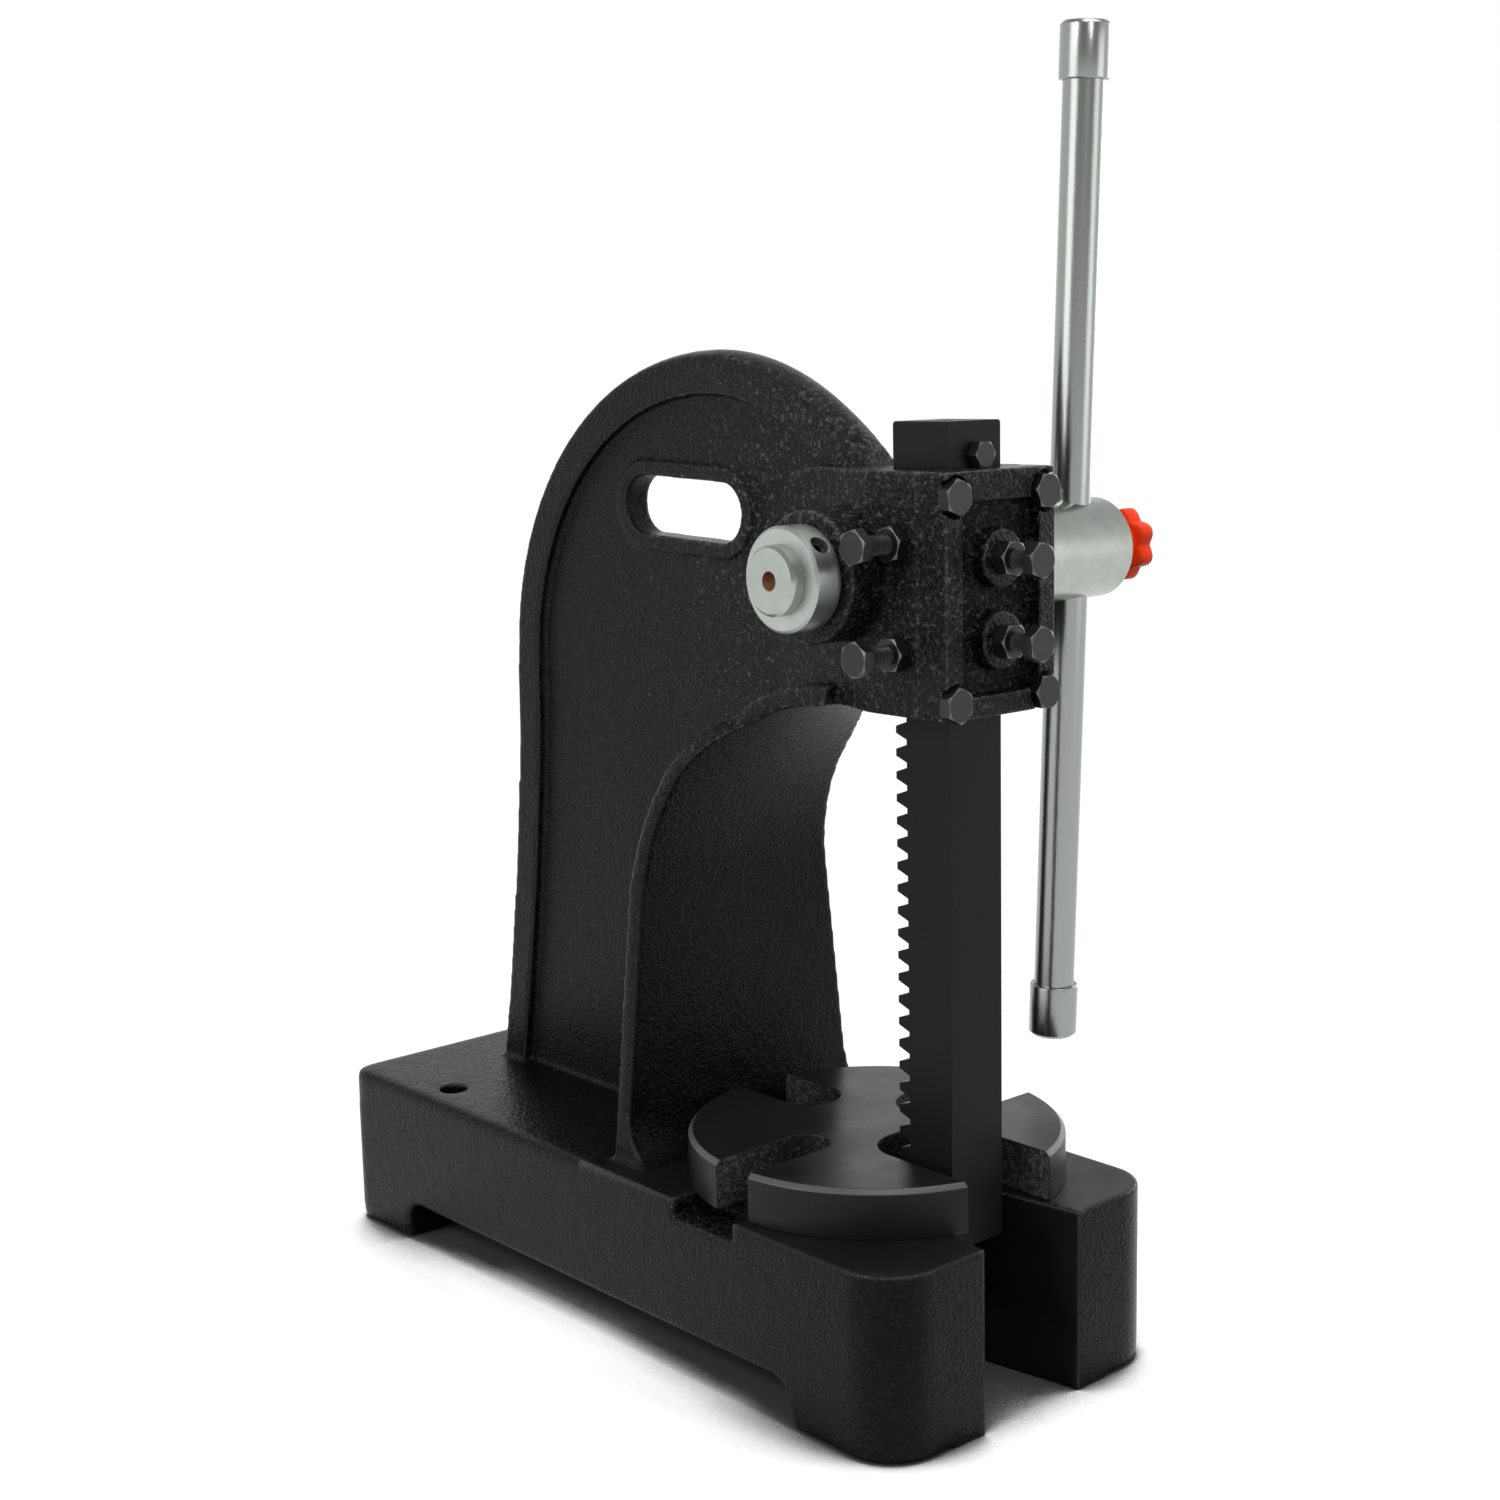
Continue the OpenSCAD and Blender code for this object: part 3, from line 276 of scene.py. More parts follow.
def grain_paint(name, head_depth, far_share, glints):
    """Black air-dried grain paint on cast iron. Its wrinkles stand up, deepest round the head, where the
    painted glints and painted crest highlights lie thickest too. Creases get painted shade, and the edges are
    grey, partly thin paint and partly painted highlight."""
    made, tree, surface, place = new_paint(name)
    # Near the head the wrinkles deepen, and the painted glints and painted crest highlights gather round a point
    # on the head.
    off = add(tree, "VectorMath", {0: place, 1: head_zone_at}, operation="DISTANCE")
    near_head = add(tree, "MapRange", {"Value": off.outputs["Value"], "From Min": head_zone_r,
                                   "From Max": far_zone_r, "To Min": 1.0, "To Max": far_share},
                interpolation_type="SMOOTHSTEP").outputs[0]

    # The wrinkles stand on long low waves.
    grain = noise(tree, place, grain_mm, 2.0, Roughness=0.55, Distortion=0.6)
    wave = noise(tree, place, wave_mm, 2.0)
    waves = add(tree, "Bump", {"Height": wave, "Strength": 0.3, "Distance": wave_high_mm * mm})
    depth = add(tree, "Math", {0: near_head, 1: head_depth}, operation="MULTIPLY")
    wrinkles = add(tree, "Bump", {"Height": grain, "Strength": depth.outputs[0],
                                  "Distance": grain_high_mm * mm, "Normal": waves.outputs[0]})

    # Painted glints: short grey lines in the base colour that lie in patches, more of them on the edges.
    fine = noise(tree, place, glint_mm, 1.0, Distortion=0.5)
    side = add(tree, "Math", {0: fine, 1: glint_level}, operation="SUBTRACT")
    line = add(tree, "Math", {0: side.outputs[0]}, operation="ABSOLUTE")
    crest = add(tree, "MapRange", {"Value": line.outputs[0], "From Min": 0.0, "From Max": glint_line,
                                   "To Min": 1.0, "To Max": 0.0})
    patch = noise(tree, place, glint_patch_mm, 3.0)
    share = add(tree, "MapRange", {"Value": near_head, "From Min": 0.0, "From Max": 1.0,
                                   "To Min": no_glints, "To Max": glints})
    bend = add(tree, "NewGeometry").outputs["Pointiness"]
    # Convex edges turn grey: partly thin paint, partly a painted edge highlight.
    edge = add(tree, "MapRange", {"Value": bend, "From Min": edge_highlight_from, "From Max": edge_highlight_to}).outputs[0]
    # Painted shade in the creases: concave places turn deeper black.
    crease_shade = add(tree, "MapRange", {"Value": bend, "From Min": crease_shade_from, "From Max": crease_shade_to}).outputs[0]
    more = add(tree, "Math", {0: edge, 1: edge_glints, 2: share.outputs[0]}, operation="MULTIPLY_ADD")
    some = add(tree, "Math", {0: patch, 1: more.outputs[0]})
    short = add(tree, "MapRange", {"Value": some.outputs[0], "From Min": patch_from, "From Max": patch_to})
    painted_glint = add(tree, "Math", {0: crest.outputs[0], 1: short.outputs[0]}, operation="MULTIPLY").outputs[0]

    # Painted shade deepens the creases to black; the edges go grey, partly thin paint and partly a painted
    # highlight; the wrinkles' crests get a painted highlight, and the painted glints lie on top.
    ridge = add(tree, "MapRange", {"Value": grain, "From Min": crest_light_from, "From Max": crest_light_to})
    painted_crest_light = add(tree, "Math", {0: ridge.outputs[0], 1: near_head}, operation="MULTIPLY").outputs[0]
    tone = between(tree, crease_shade, "#020202", "#080809")
    for part, grey in ((edge, "#3A3A3B"), (painted_crest_light, "#29292A"), (painted_glint, "#8E8E8E")):
        tone = between(tree, part, tone, grey)
    feed(tree, surface, {"Base Color": tone, "Normal": wrinkles.outputs[0], "Roughness": 0.22,
                         "Specular IOR Level": 0.095})
    return made


cut_grain_mm, cut_high_mm, blotch_mm = 0.5, 0.3, 22


def cut_iron(name, colour, roughness, stretch=(1, 1, 1), depth=0.12, shine=0.4):
    """Machined iron or steel. Under a satin surface lie fine cutter marks, long ones where they are
    stretched, and the gloss is a little cloudy."""
    made, tree, surface, place = new_paint(name)
    laid = add(tree, "Mapping", {"Vector": place, "Scale": stretch})
    marks = noise(tree, laid.outputs[0], cut_grain_mm, 3.0)
    bump = add(tree, "Bump", {"Height": marks, "Strength": depth, "Distance": cut_high_mm * mm})
    blotch = noise(tree, place, blotch_mm, 3.0)
    gloss = add(tree, "MapRange", {"Value": blotch, "From Min": 0.3, "From Max": 0.7,
                                   "To Min": roughness - 0.05, "To Max": roughness + 0.07})
    feed(tree, surface, {"Base Color": linear(colour), "Normal": bump.outputs[0],
                         "Roughness": gloss.outputs[0], "Specular IOR Level": shine})
    return made


deck_z, crown_foot_z, crown_fade_z = 78.6 * mm, 288.5 * mm, 386 * mm
crown_y, crown_long, crown_high = 138 * mm, 146 * mm, 142.9 * mm
crowning, rim_half_top, rim_half_foot = 2.3 * mm, 8.9 * mm, 13.7 * mm
rim_share, rim_lean = 0.97, 0.6
back_top_y, foot_round = 284 * mm, 12 * mm

# Grained all over, and most at the head. The walls of the notches stay rough from the sand under the
# paint, and the milled faces look plain and smooth beside them.
# Both grain paints carry painted glints, painted highlights on crests and edges, and painted shade in the
# creases.
grained = grain_paint("air_dried_grain_paint", 0.9, 0.42, 0.08)
rough_cast = grain_paint("painted_sand_cast_wall", 1.0, 1.0, 0.0)
milled = cut_iron("milled_cast_iron_blackened", "#121213", 0.38, shine=0.25)
casting = finished(merged_copy("frame_casting"), "press_casting", "frame",
                   ["frame_casting"], [])
mesh = skinned(casting, casting_skin)
mesh.normal_update()

# The outer rim of the column is crowned: round across, over the top and down the back.
for spot in mesh.verts:
    height = eased(spot.co.z, deck_z + foot_round, crown_foot_z)
    half = rim_half_foot + (rim_half_top - rim_half_foot) * height
    swell = 1 - (spot.co.x / half) ** 2
    if swell <= 0 or abs(spot.normal.x) > rim_lean:
        continue
    if spot.co.z > crown_foot_z:
        out_y, out_z = spot.co.y - crown_y, spot.co.z - crown_foot_z
        if math.hypot(out_y / crown_long, out_z / crown_high) > rim_share:
            out = Vector((0, out_y / crown_long ** 2, out_z / crown_high ** 2)).normalized()
            fade = eased(spot.co.z, crown_fade_z, crown_fade_z + foot_round) if spot.co.y < crown_y else 1
            spot.co += out * crowning * swell * fade
    elif spot.co.z > deck_z + foot_round and spot.normal.y > rim_lean and spot.co.y > back_top_y - foot_round:
        spot.co.y += crowning * swell * eased(spot.co.z, deck_z + foot_round, deck_z + 3 * foot_round)

# Blocks of the casting, in mm: half width from the middle, depth and height.
anywhere = (-999, 999)
slot_edges = ((-1, 32), (-999, 40), (-999, 79.6))
slot_walls = ((-1, 28.6), (-45, 37), (-999, 78.6))
slot_foot = ((-1, 46), (-999, 45), anywhere)
deck_face = (anywhere, (-999, 132), (78.4, 79.6))
notches = ((50, 82), (44, 88), (69, 78))
throat_flange = (anywhere, (-999, 140), (100, 286))
rear_top = (anywhere, (150, 999), (60, 79.6))
rear_inner = ((-1, 68), (-999, 325), anywhere)
foot = (anywhere, anywhere, (-999, 8))
bolt_holes, hole_reach = [Vector((side * 64.3, 275.5)) * mm for side in (-1, 1)], 9 * mm
level_lean, upright_lean = 0.97, 0.3


def inside(spot, block):
    """Whether a spot lies in a block, on either side of the press's middle."""
    return all(low * mm < value < high * mm for value, (low, high) in zip((abs(spot.x), spot.y, spot.z), block))


def kept_sharp(spot):
    """The milled front slot and the drilled bolt holes keep their edges."""
    return inside(spot, slot_edges) or any((spot.xy - hole).length < hole_reach for hole in bolt_holes)


def well_rounded(spot):
    """The lower edge of the base, but for the front slot, and the upper edge of its rear half."""
    on_foot = inside(spot, foot) and not inside(spot, slot_foot)
    return on_foot or inside(spot, rear_top) and not inside(spot, rear_inner)


cast_edges = [spot for spot in mesh.verts if not kept_sharp(spot.co)]
flange_edges = [spot for spot in cast_edges if inside(spot.co, throat_flange)]
base_edges = [spot for spot in cast_edges if well_rounded(spot.co)]
for spots, turns in ((cast_edges, 4), (flange_edges, 8), (base_edges, 26)):
    smoothed(mesh, spots, turns)
mesh.to_mesh(casting.data)
mesh.free()
thin = casting.modifiers.new("fewer faces", "DECIMATE")
thin.ratio = faces_kept
applied(casting)


def coated(piece, paints):
    """Gives a cast piece its finishes."""
    piece.data.shade_smooth()
    piece.data.materials.clear()
    for paint in paints:
        piece.data.materials.append(paint)


coated(casting, [grained, milled, rough_cast])
for face in casting.data.polygons:
    on_deck = inside(face.center, deck_face) and face.normal.z > level_lean
    in_slot = inside(face.center, slot_walls) and abs(face.normal.z) < upright_lean
    face.material_index = 1 if on_deck or in_slot else 2 if inside(face.center, notches) else 0


# The front cover. It is a second casting, bolted over the front of the head to close the ram's guide.
# It has a raised border, two bosses for the adjusting screws, and a shallow pocket at each corner.
cover = finished(merged_copy("front_cover"), "guide_cover", "frame", ["front_cover"], [])
mesh = skinned(cover, cover_skin)
top_right_corner = ((25, 999), anywhere, (379, 999))
corner_edges = [spot for spot in mesh.verts if spot.co.x > 0 and inside(spot.co, top_right_corner)]
for spots, turns in ((mesh.verts, 2), (corner_edges, 12)):
    smoothed(mesh, spots, turns)
mesh.to_mesh(cover.data)
mesh.free()
coated(cover, [grained])


# The hexagon bolts, screws and nuts. They are cold headed and blackened, and hold the cover, set the two
# gibs and stop the ram. All are M8 but the stop bolt, M6. The adjusting screws stand out and show their threads.
oxide_cloud_mm, oxide_grain_mm = 1.6, 0.2


def black_oxide_steel(name, dark, pale, metal):
    """Chemically blackened steel. A thin dark grey oxide, in clouds of a darker and a paler tone."""
    made, tree, surface, place = new_paint(name)
    cloud = noise(tree, place, oxide_cloud_mm, 4.0)
    bump = add(tree, "Bump", {"Height": cloud, "Strength": 0.25, "Distance": oxide_grain_mm * mm})
    feed(tree, surface, {"Base Color": between(tree, cloud, dark, pale), "Normal": bump.outputs[0],
                         "Roughness": 0.36, "Metallic": metal})
    return made


blackened = black_oxide_steel("black_oxide_steel", "#101011", "#222224", 0.3)
# The paler copy is a painted highlight on the hex corners and the thread crests, where edges catch the light.
highlit_oxide = black_oxide_steel("black_oxide_steel_painted_highlight", "#505052", "#7A7A7C", 0.6)
screw_r, thread_pitch = 4 * mm, 1.25 * mm
chamfer_slope, land_share = math.tan(math.radians(30)), 0.485


def edges_of(made):
    """The edges among the parts that an operator made."""
    return [part for part in made["geom"] if isinstance(part, bmesh.types.BMEdge)]


def corners_of(edges):
    """The corners that the edges run between."""
    return list(dict.fromkeys(spot for edge in edges for spot in edge.verts))


def hexagon(mesh, low, high, turn, across_flats, both_ends=False):
    """Adds a hexagon on Z from low to high, with the corners of its top turned off to a cone."""
    ring = bmesh.ops.create_circle(mesh, segments=6, radius=across_flats / math.sqrt(3), cap_ends=False)["verts"]
    sides = list(dict.fromkeys(edge for spot in ring for edge in spot.link_edges))
    start = edges_of(bmesh.ops.subdivide_edges(mesh, edges=sides, cuts=7))
    land = across_flats * land_share
    corners = corners_of(start)
    bmesh.ops.rotate(mesh, verts=corners, cent=(0, 0, 0), matrix=Matrix.Rotation(turn, 3, "Z"))
    for spot in corners:
        drop = max(0, spot.co.to_2d().length - land) * chamfer_slope
        spot.co.z = low + (drop if both_ends else 0)
    sides = edges_of(bmesh.ops.extrude_edge_only(mesh, edges=start))
    for spot in corners_of(sides):
        spot.co.z = high - max(0, spot.co.to_2d().length - land) * chamfer_slope
    for rim, end, coned in ((sides, high, True), (start, low, both_ends)):
        if coned:
            rim = edges_of(bmesh.ops.extrude_edge_only(mesh, edges=rim))
            for spot in corners_of(rim):
                out = spot.co.to_2d().length
                spot.co = (spot.co.x * land / out, spot.co.y * land / out, end)
        bmesh.ops.edgeloop_fill(mesh, edges=rim)


def softened(mesh, width, steps=2):
    """Breaks each sharp edge of a mesh."""
    bmesh.ops.recalc_face_normals(mesh, faces=mesh.faces)
    keen = [edge for edge in mesh.edges if len(edge.link_faces) == 2 and edge.calc_face_angle() > sharp_turn]
    bmesh.ops.bevel(mesh, geom=keen, offset=width, offset_type="OFFSET", segments=steps, profile=0.5,
                    affect="EDGES", material=-1, clamp_overlap=True)


def thread(mesh, low, high):
    """Winds the thread of a screw round Z, from low to high."""
    root, flat, steps = screw_r - 0.61 * thread_pitch, thread_pitch / 10, 28
    turns = math.ceil((high - low) / thread_pitch)
    marks = [mesh.verts.new((radius, 0, low + up)) for radius, up in (
        (root, 0), (screw_r, thread_pitch / 2 - flat), (screw_r, thread_pitch / 2 + flat), (root, thread_pitch))]
    lines = [mesh.edges.new(pair) for pair in zip(marks, marks[1:])]
    bmesh.ops.spin(mesh, geom=marks + lines, cent=(0, 0, 0), axis=(0, 0, 1),
                   dvec=(0, 0, thread_pitch / steps), angle=2 * math.pi * turns, steps=steps * turns,
                   use_merge=False)
    bmesh.ops.remove_doubles(mesh, verts=mesh.verts, dist=0.004 * mm)


def turned_to(mesh, facing, place):
    """Turns a mesh made on Z to face another way, and puts it in its place."""
    spin = Vector((0, 0, 1)).rotation_difference(Vector(facing)).to_matrix().to_4x4()
    bmesh.ops.transform(mesh, matrix=Matrix.Translation(place) @ spin, verts=mesh.verts)


def highlight_corners(mesh):
    """Gives the turned corners and the crest of the thread the paler oxide, a painted highlight. The corners
    lean between level and upright, and the crest lies at the screw's own radius."""
    mesh.normal_update()
    for face in mesh.faces:
        out, lean = face.calc_center_median().to_2d().length, abs(face.normal.z)
        on_corner = out > 1.1 * screw_r and 0.3 < lean < 0.96
        on_crest = out < 1.02 * screw_r and lean < 0.3 and out > 0.97 * screw_r
        face.material_index = 1 if on_corner or on_crest else 0


def outer_end(low, high, facing):
    """The middle of the end that a bolt or nut shows, from the corners of its box."""
    middle = (low + high) / 2
    return Vector((middle.x, low.y, middle.z)) if facing == front else Vector((low.x, middle.y, middle.z))


front, left = Vector((0, -1, 0)), Vector((-1, 0, 0))
m8_flats, m6_flats = 13 * mm, 10 * mm
m8_head, m6_head, m8_nut = 5.3 * mm, 5 * mm, 6 * mm
forged_edge = 0.1 * mm
for node, facing, turn, threaded in (
        ("cover_bolt_top_left", front, 8, 0), ("cover_bolt_top_right", front, 24, 0),
        ("cover_bolt_bottom_left", front, 4, 0), ("cover_bolt_bottom_right", front, 27, 0),
        ("stop_bolt", front, 30, 0),
        ("front_screw_upper", front, 12, 22), ("front_screw_lower", front, 5, 22),
        ("side_screw_upper", left, 18, 26), ("side_screw_lower", left, 26, 26)):
    low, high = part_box(node)
    mesh = bmesh.new()
    small = node == "stop_bolt"
    head_t, flats = (m6_head, m6_flats) if small else (m8_head, m8_flats)
    hexagon(mesh, -head_t, 0, math.radians(turn), flats)
    softened(mesh, forged_edge, 1)
    if threaded:
        thread(mesh, -threaded * mm, -head_t + thread_pitch / 2)
    highlight_corners(mesh)
    turned_to(mesh, facing, outer_end(low, high, facing))
    kept_flat(finished(mesh, node + "_forged", "ram" if small else "frame", [node],
                       [blackened, highlit_oxide]))
for node, facing, turn in (("front_nut_upper", front, 20), ("front_nut_lower", front, 28),
                           ("side_nut_upper", left, 14), ("side_nut_lower", left, 3)):
    low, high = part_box(node)
    mesh = bmesh.new()
    hexagon(mesh, -m8_nut, 0, math.radians(turn), m8_flats, both_ends=True)
    softened(mesh, forged_edge, 1)
    highlight_corners(mesh)
    turned_to(mesh, facing, outer_end(low, high, facing))
    kept_flat(finished(mesh, node + "_forged", "frame", [node], [blackened, highlit_oxide]))


# The gibs. Two flat strips of grey iron bear on the ram, set by the adjusting screws. They lie inside
# the head, where at most their ends can be seen, and are ground. So is the pin under the plate.
def paint_node(node, paint):
    """Gives a CAD node that is shown as it is another finish."""
    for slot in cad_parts[node].material_slots:
        slot.material = paint


# Ground and bare: a warm grey with lines along the strip.
ground = cut_iron("ground_grey_iron", "#5A5850", 0.4, (1, 1, 0.06))
for node in ("front_gib", "side_gib", "plate_pivot"):
    paint_node(node, ground)


# The ram. It is a square bar of blackened steel, with the rack milled in its rear face and every
# edge broken. Fine lines lie along its length, as the bar was drawn.
# Drawn and blackened: a deep satin black with lines along the bar.
drawn = cut_iron("blackened_steel_bar", "#111113", 0.36, (1, 1, 0.05), 0.3, 0.12)
edge_break, fit = 0.35 * mm, 0.06 * mm
shaft_middle = Vector((0, 28.8, 343.65)) * mm


def machined(node, name, body, edge, paints, turned=()):
    """A copy of a CAD node whose flat faces are joined, with its edges broken and its rims chamfered.
    Each turned rim has its place along X, its radius and the chamfer's width."""
    mesh = merged_copy(node)
    bmesh.ops.dissolve_limit(mesh, angle_limit=math.radians(0.5), verts=mesh.verts, edges=mesh.edges)
    for end_x, radius, width in turned:
        rim = [line for line in mesh.edges if line.calc_face_angle(0) > sharp_turn and all(
            abs((spot.co - shaft_middle).yz.length - radius) < fit
            and abs(spot.co.x - end_x) < fit for spot in line.verts)]
        bmesh.ops.bevel(mesh, geom=rim, offset=width, offset_type="OFFSET", segments=1, profile=0.5,
                        affect="EDGES", material=-1, clamp_overlap=False)
    softened(mesh, edge)
    return kept_flat(finished(mesh, name, body, [node], paints))


machined("ram", "ram_bar", "ram", edge_break, [drawn])


# The pinion shaft and its collar. The hub, the journals and the pinion between them are turned from one
# bar, and a set screw holds the collar on its end. Both are zinc plated, and the lathe leaves fine rings.
ring_mm, zinc_cloud_mm, ring_high_mm = 0.9, 9, 0.2


def turned_zinc(name, roughness):
    """Turned steel, zinc plated. Soft pale grey with a green cast, and fine rings round the shaft."""
    made, tree, surface, place = new_paint(name)
    centred = add(tree, "Mapping", {"Vector": place, "Location": -shaft_middle})
    apart = add(tree, "SeparateXYZ", {"Vector": centred.outputs[0]})
    high = add(tree, "Math", {0: apart.outputs[1], 1: apart.outputs[1]}, operation="MULTIPLY")
    wide = add(tree, "Math", {0: apart.outputs[2], 1: apart.outputs[2], 2: high.outputs[0]},
               operation="MULTIPLY_ADD")
    radius = add(tree, "Math", {0: wide.outputs[0]}, operation="SQRT")
    rings = add(tree, "CombineXYZ", {"X": apart.outputs[0], "Y": radius.outputs[0]})
    ring = noise(tree, rings.outputs[0], ring_mm, 3.0)
    cloud = noise(tree, place, zinc_cloud_mm, 4.0)
    bump = add(tree, "Bump", {"Height": ring, "Strength": 0.1, "Distance": ring_high_mm * mm})
    feed(tree, surface, {"Base Color": between(tree, cloud, "#9EA39D", "#B6BCB6"), "Normal": bump.outputs[0],
                         "Roughness": roughness, "Metallic": 1.0})
    return made


# The collar is a little duller than the shaft, and the centre hole in the shaft's end is brown with rust.
zinc = turned_zinc("zinc_plated_turned_steel", 0.27)
satin = turned_zinc("zinc_plated_collar", 0.4)
rust = cut_iron("rust_in_the_centre_hole", "#6B4426", 0.7, depth=0.5)
turned_edge, hub_r, journal_r, collar_r = 0.2 * mm, 22 * mm, 14.1 * mm, 21.2 * mm
shaft = machined("pinion_shaft", "shaft_with_hub", "pinion", turned_edge, [zinc, rust],
                 ((-70.2 * mm, journal_r, 1.2 * mm), (125.2 * mm, hub_r, 0.8 * mm)))
centre_hole_r, centre_hole_foot = 3.8 * mm, -66 * mm
for face in shaft.data.polygons:
    near = (face.center - shaft_middle).yz.length < centre_hole_r and face.center.x < centre_hole_foot
    if near and abs(face.normal.x) < 0.95:
        face.material_index = 1
machined("shaft_collar", "set_collar", "pinion", turned_edge, [satin],
         ((-64.2 * mm, collar_r, 1.1 * mm), (-50.7 * mm, collar_r, 0.8 * mm)))
paint_node("collar_screw", blackened)
paint_node("clamp_screw", zinc)


# The handle. It is a bright steel bar that slides through the hub, with a turned cap pressed on each
# end. Bar and caps are polished and chromed, so they show the room in upright bands.
belt_line_mm, belt_line_high_mm, belt_stretch, pit_mm, pit_high_mm = 0.7, 0.15, 0.08, 0.8, 0.12


def polished_chrome():
    """Polished chrome plate. It mirrors softly, through faint lines from the polishing belt and small pits."""
    made, tree, surface, place = new_paint("polished_chrome_plate")
    laid = add(tree, "Mapping", {"Vector": place, "Scale": (1, 1, belt_stretch)})
    lines = noise(tree, laid.outputs[0], belt_line_mm, 3.0)
    lined = add(tree, "Bump", {"Height": lines, "Strength": 0.25, "Distance": belt_line_high_mm * mm})
    pits = noise(tree, place, pit_mm, 2.0)
    bump = add(tree, "Bump", {"Height": pits, "Strength": 0.2, "Distance": pit_high_mm * mm,
                              "Normal": lined.outputs[0]})
    feed(tree, surface, {"Base Color": linear("#989C98"), "Normal": bump.outputs[0], "Roughness": 0.24,
                         "Metallic": 1.0})
    return made


chrome = polished_chrome()
bar_middle = shaft_middle + Vector((107.1, 0, 0)) * mm
bar_lean = math.radians(2.27)
bar_half, bar_r, cap_r, cap_len, cap_edge = 223 * mm, 9 * mm, 10.8 * mm, 24 * mm, 1.5 * mm


def turn_round_z(mesh, profile, steps=64):
    """Turns a profile of radius and height round Z, like work in a lathe."""
    marks = [mesh.verts.new((radius, 0, height)) for radius, height in profile]
    lines = [mesh.edges.new(pair) for pair in zip(marks, marks[1:])]
    bmesh.ops.spin(mesh, geom=marks + lines, cent=(0, 0, 0), axis=(0, 0, 1), dvec=(0, 0, 0),
                   angle=2 * math.pi, steps=steps, use_merge=True)


def lathed(profile):
    """A turned piece, as a bmesh."""
    mesh = bmesh.new()
    turn_round_z(mesh, profile)
    bmesh.ops.remove_doubles(mesh, verts=mesh.verts, dist=weld)
    bmesh.ops.recalc_face_normals(mesh, faces=mesh.faces)
    return mesh


def put_on_bar(mesh):
    """Moves a mesh made on Z to the bar's place, and leans it as the bar leans."""
    lean = Matrix.Translation(bar_middle) @ Matrix.Rotation(bar_lean, 4, "X")
    bmesh.ops.transform(mesh, matrix=lean, verts=mesh.verts)
    return mesh


within = bar_half - cap_len / 2
finished(put_on_bar(lathed([(0, -within), (bar_r, -within), (bar_r, within), (0, within)])),
         "chromed_bar", "handle", ["handle_bar"], [chrome])
mouth, mouth_edge, cap_break = bar_half - cap_len, 0.4 * mm, 0.15 * mm
cap_top = bar_half - 0.02 * mm
cap_profile = [(bar_r, mouth + 0.3 * mm), (cap_r - mouth_edge, mouth), (cap_r, mouth + mouth_edge),
               (cap_r, bar_half - cap_edge), (cap_r - cap_edge, cap_top), (0, cap_top)]
for node, side in (("bar_cap_upper", 1), ("bar_cap_lower", -1)):
    mesh = lathed([(radius, side * height) for radius, height in cap_profile])
    softened(mesh, cap_break)
    finished(put_on_bar(mesh), node + "_turned", "handle", [node], [chrome])


# The lock knob. It is a seven lobed star moulded in red plastic over the head of the clamp screw,
# which it drives through the hub's end against the bar. The lobes have round edges.
abs_cloud_mm, abs_ripple_mm = 6, 0.3


def red_plastic():
    """Moulded ABS. A clear orange red with a low gloss, on faces that ripple very slightly."""
    made, tree, surface, place = new_paint("moulded_red_abs")
    cloud = noise(tree, place, abs_cloud_mm, 3.0)
    bump = add(tree, "Bump", {"Height": cloud, "Strength": 0.08, "Distance": abs_ripple_mm * mm})
    feed(tree, surface, {"Base Color": between(tree, cloud, "#F63C0C", "#FE4614"), "Normal": bump.outputs[0],
                         "Roughness": 0.35, "IOR": 1.53, "Specular IOR Level": 0.12})
    return made


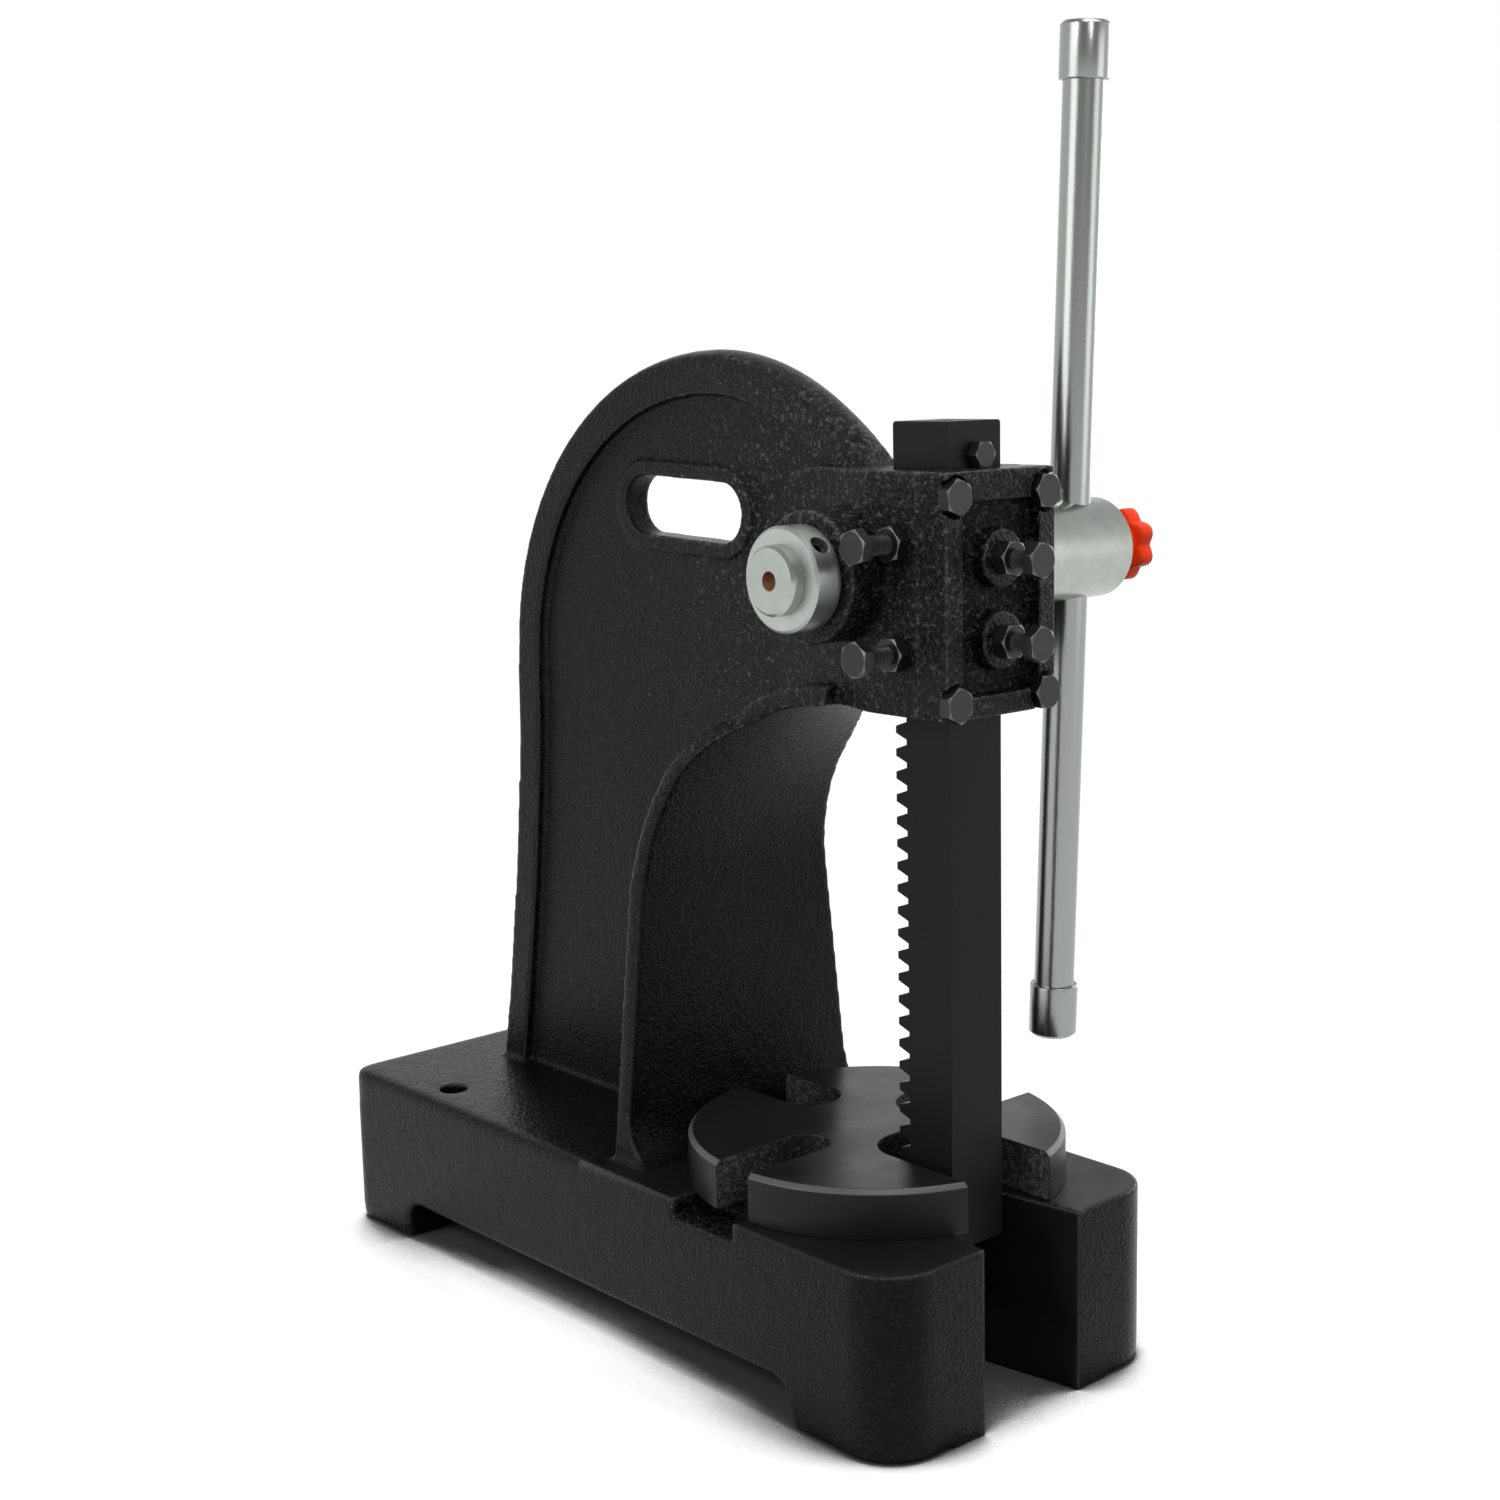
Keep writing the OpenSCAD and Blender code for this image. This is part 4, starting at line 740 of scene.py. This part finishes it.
red = red_plastic()
lobes, lobe_out, lobe_dip, lobe_turn = 7, 16.3 * mm, 13.4 * mm, math.radians(103)
knob_start, knob_end, knob_round = 139.2 * mm, 148.0 * mm, 1.6 * mm
mesh = bmesh.new()
bmesh.ops.create_circle(mesh, segments=lobes * 12, radius=lobe_out, cap_ends=True)
for spot in mesh.verts:
    bearing = math.atan2(spot.co.y, spot.co.x) - lobe_turn
    swell = (1 + math.cos(lobes * bearing)) / 2
    spot.co *= (lobe_dip + (lobe_out - lobe_dip) * swell ** 0.7) / lobe_out
risen = bmesh.ops.extrude_face_region(mesh, geom=mesh.faces[:])["geom"]
bmesh.ops.translate(mesh, vec=(0, 0, knob_end - knob_start),
                    verts=[part for part in risen if isinstance(part, bmesh.types.BMVert)])
bmesh.ops.recalc_face_normals(mesh, faces=mesh.faces)
rims = [edge for edge in mesh.edges if edge.calc_face_angle() > math.radians(60)]
bmesh.ops.bevel(mesh, geom=rims, offset=knob_round, offset_type="OFFSET", segments=4, profile=0.5,
                affect="EDGES", material=-1, clamp_overlap=True)
neck = [(10 * mm, -13.8 * mm), (10 * mm, -4 * mm), (11.5 * mm, 0.4 * mm)]
turn_round_z(mesh, neck)
bmesh.ops.recalc_face_normals(mesh, faces=mesh.faces)
facing_x = Matrix(((0, 0, 1), (1, 0, 0), (0, 1, 0))).to_4x4()
bmesh.ops.transform(mesh, matrix=Matrix.Translation(shaft_middle + Vector((knob_start, 0, 0))) @ facing_x,
                    verts=mesh.verts)
finished(mesh, "star_knob", "knob", ["lock_knob"], [red])


# The anvil plate. It is a turned disc of blackened iron with four open slots of different widths for
# the work, and it turns on a pivot in the deck. Its top is faced, its edge is chamfered, and its slots
# are as cast.
# The faced top is smooth and mirrors the room as a soft sheen. The black is thin on its cut edge, which
# shows as a grey line, and the turned side is a plainer satin.
faced = cut_iron("faced_iron_blackened", "#161617", 0.3, shine=0.42)
edge_cut = cut_iron("cut_edge_thinly_blackened", "#464646", 0.4, shine=0.5)
turned_side = cut_iron("turned_side_blackened", "#101011", 0.38, shine=0.22)
plate = machined("anvil_plate", "slotted_plate", "plate", edge_break,
                 [faced, rough_cast, edge_cut, turned_side])
plate_middle, plate_r, chamfer_reach = Vector((4.6, 49.4)) * mm, 82 * mm, 3 * mm
for face in plate.data.polygons:
    out = (face.center.xy - plate_middle).length
    if abs(face.normal.z) < 0.2:
        face.material_index = 1 if out < plate_r - mm else 3
    elif 0.5 < face.normal.z < 0.9 and out > plate_r - chamfer_reach:
        face.material_index = 2


bpy.context.view_layer.update()
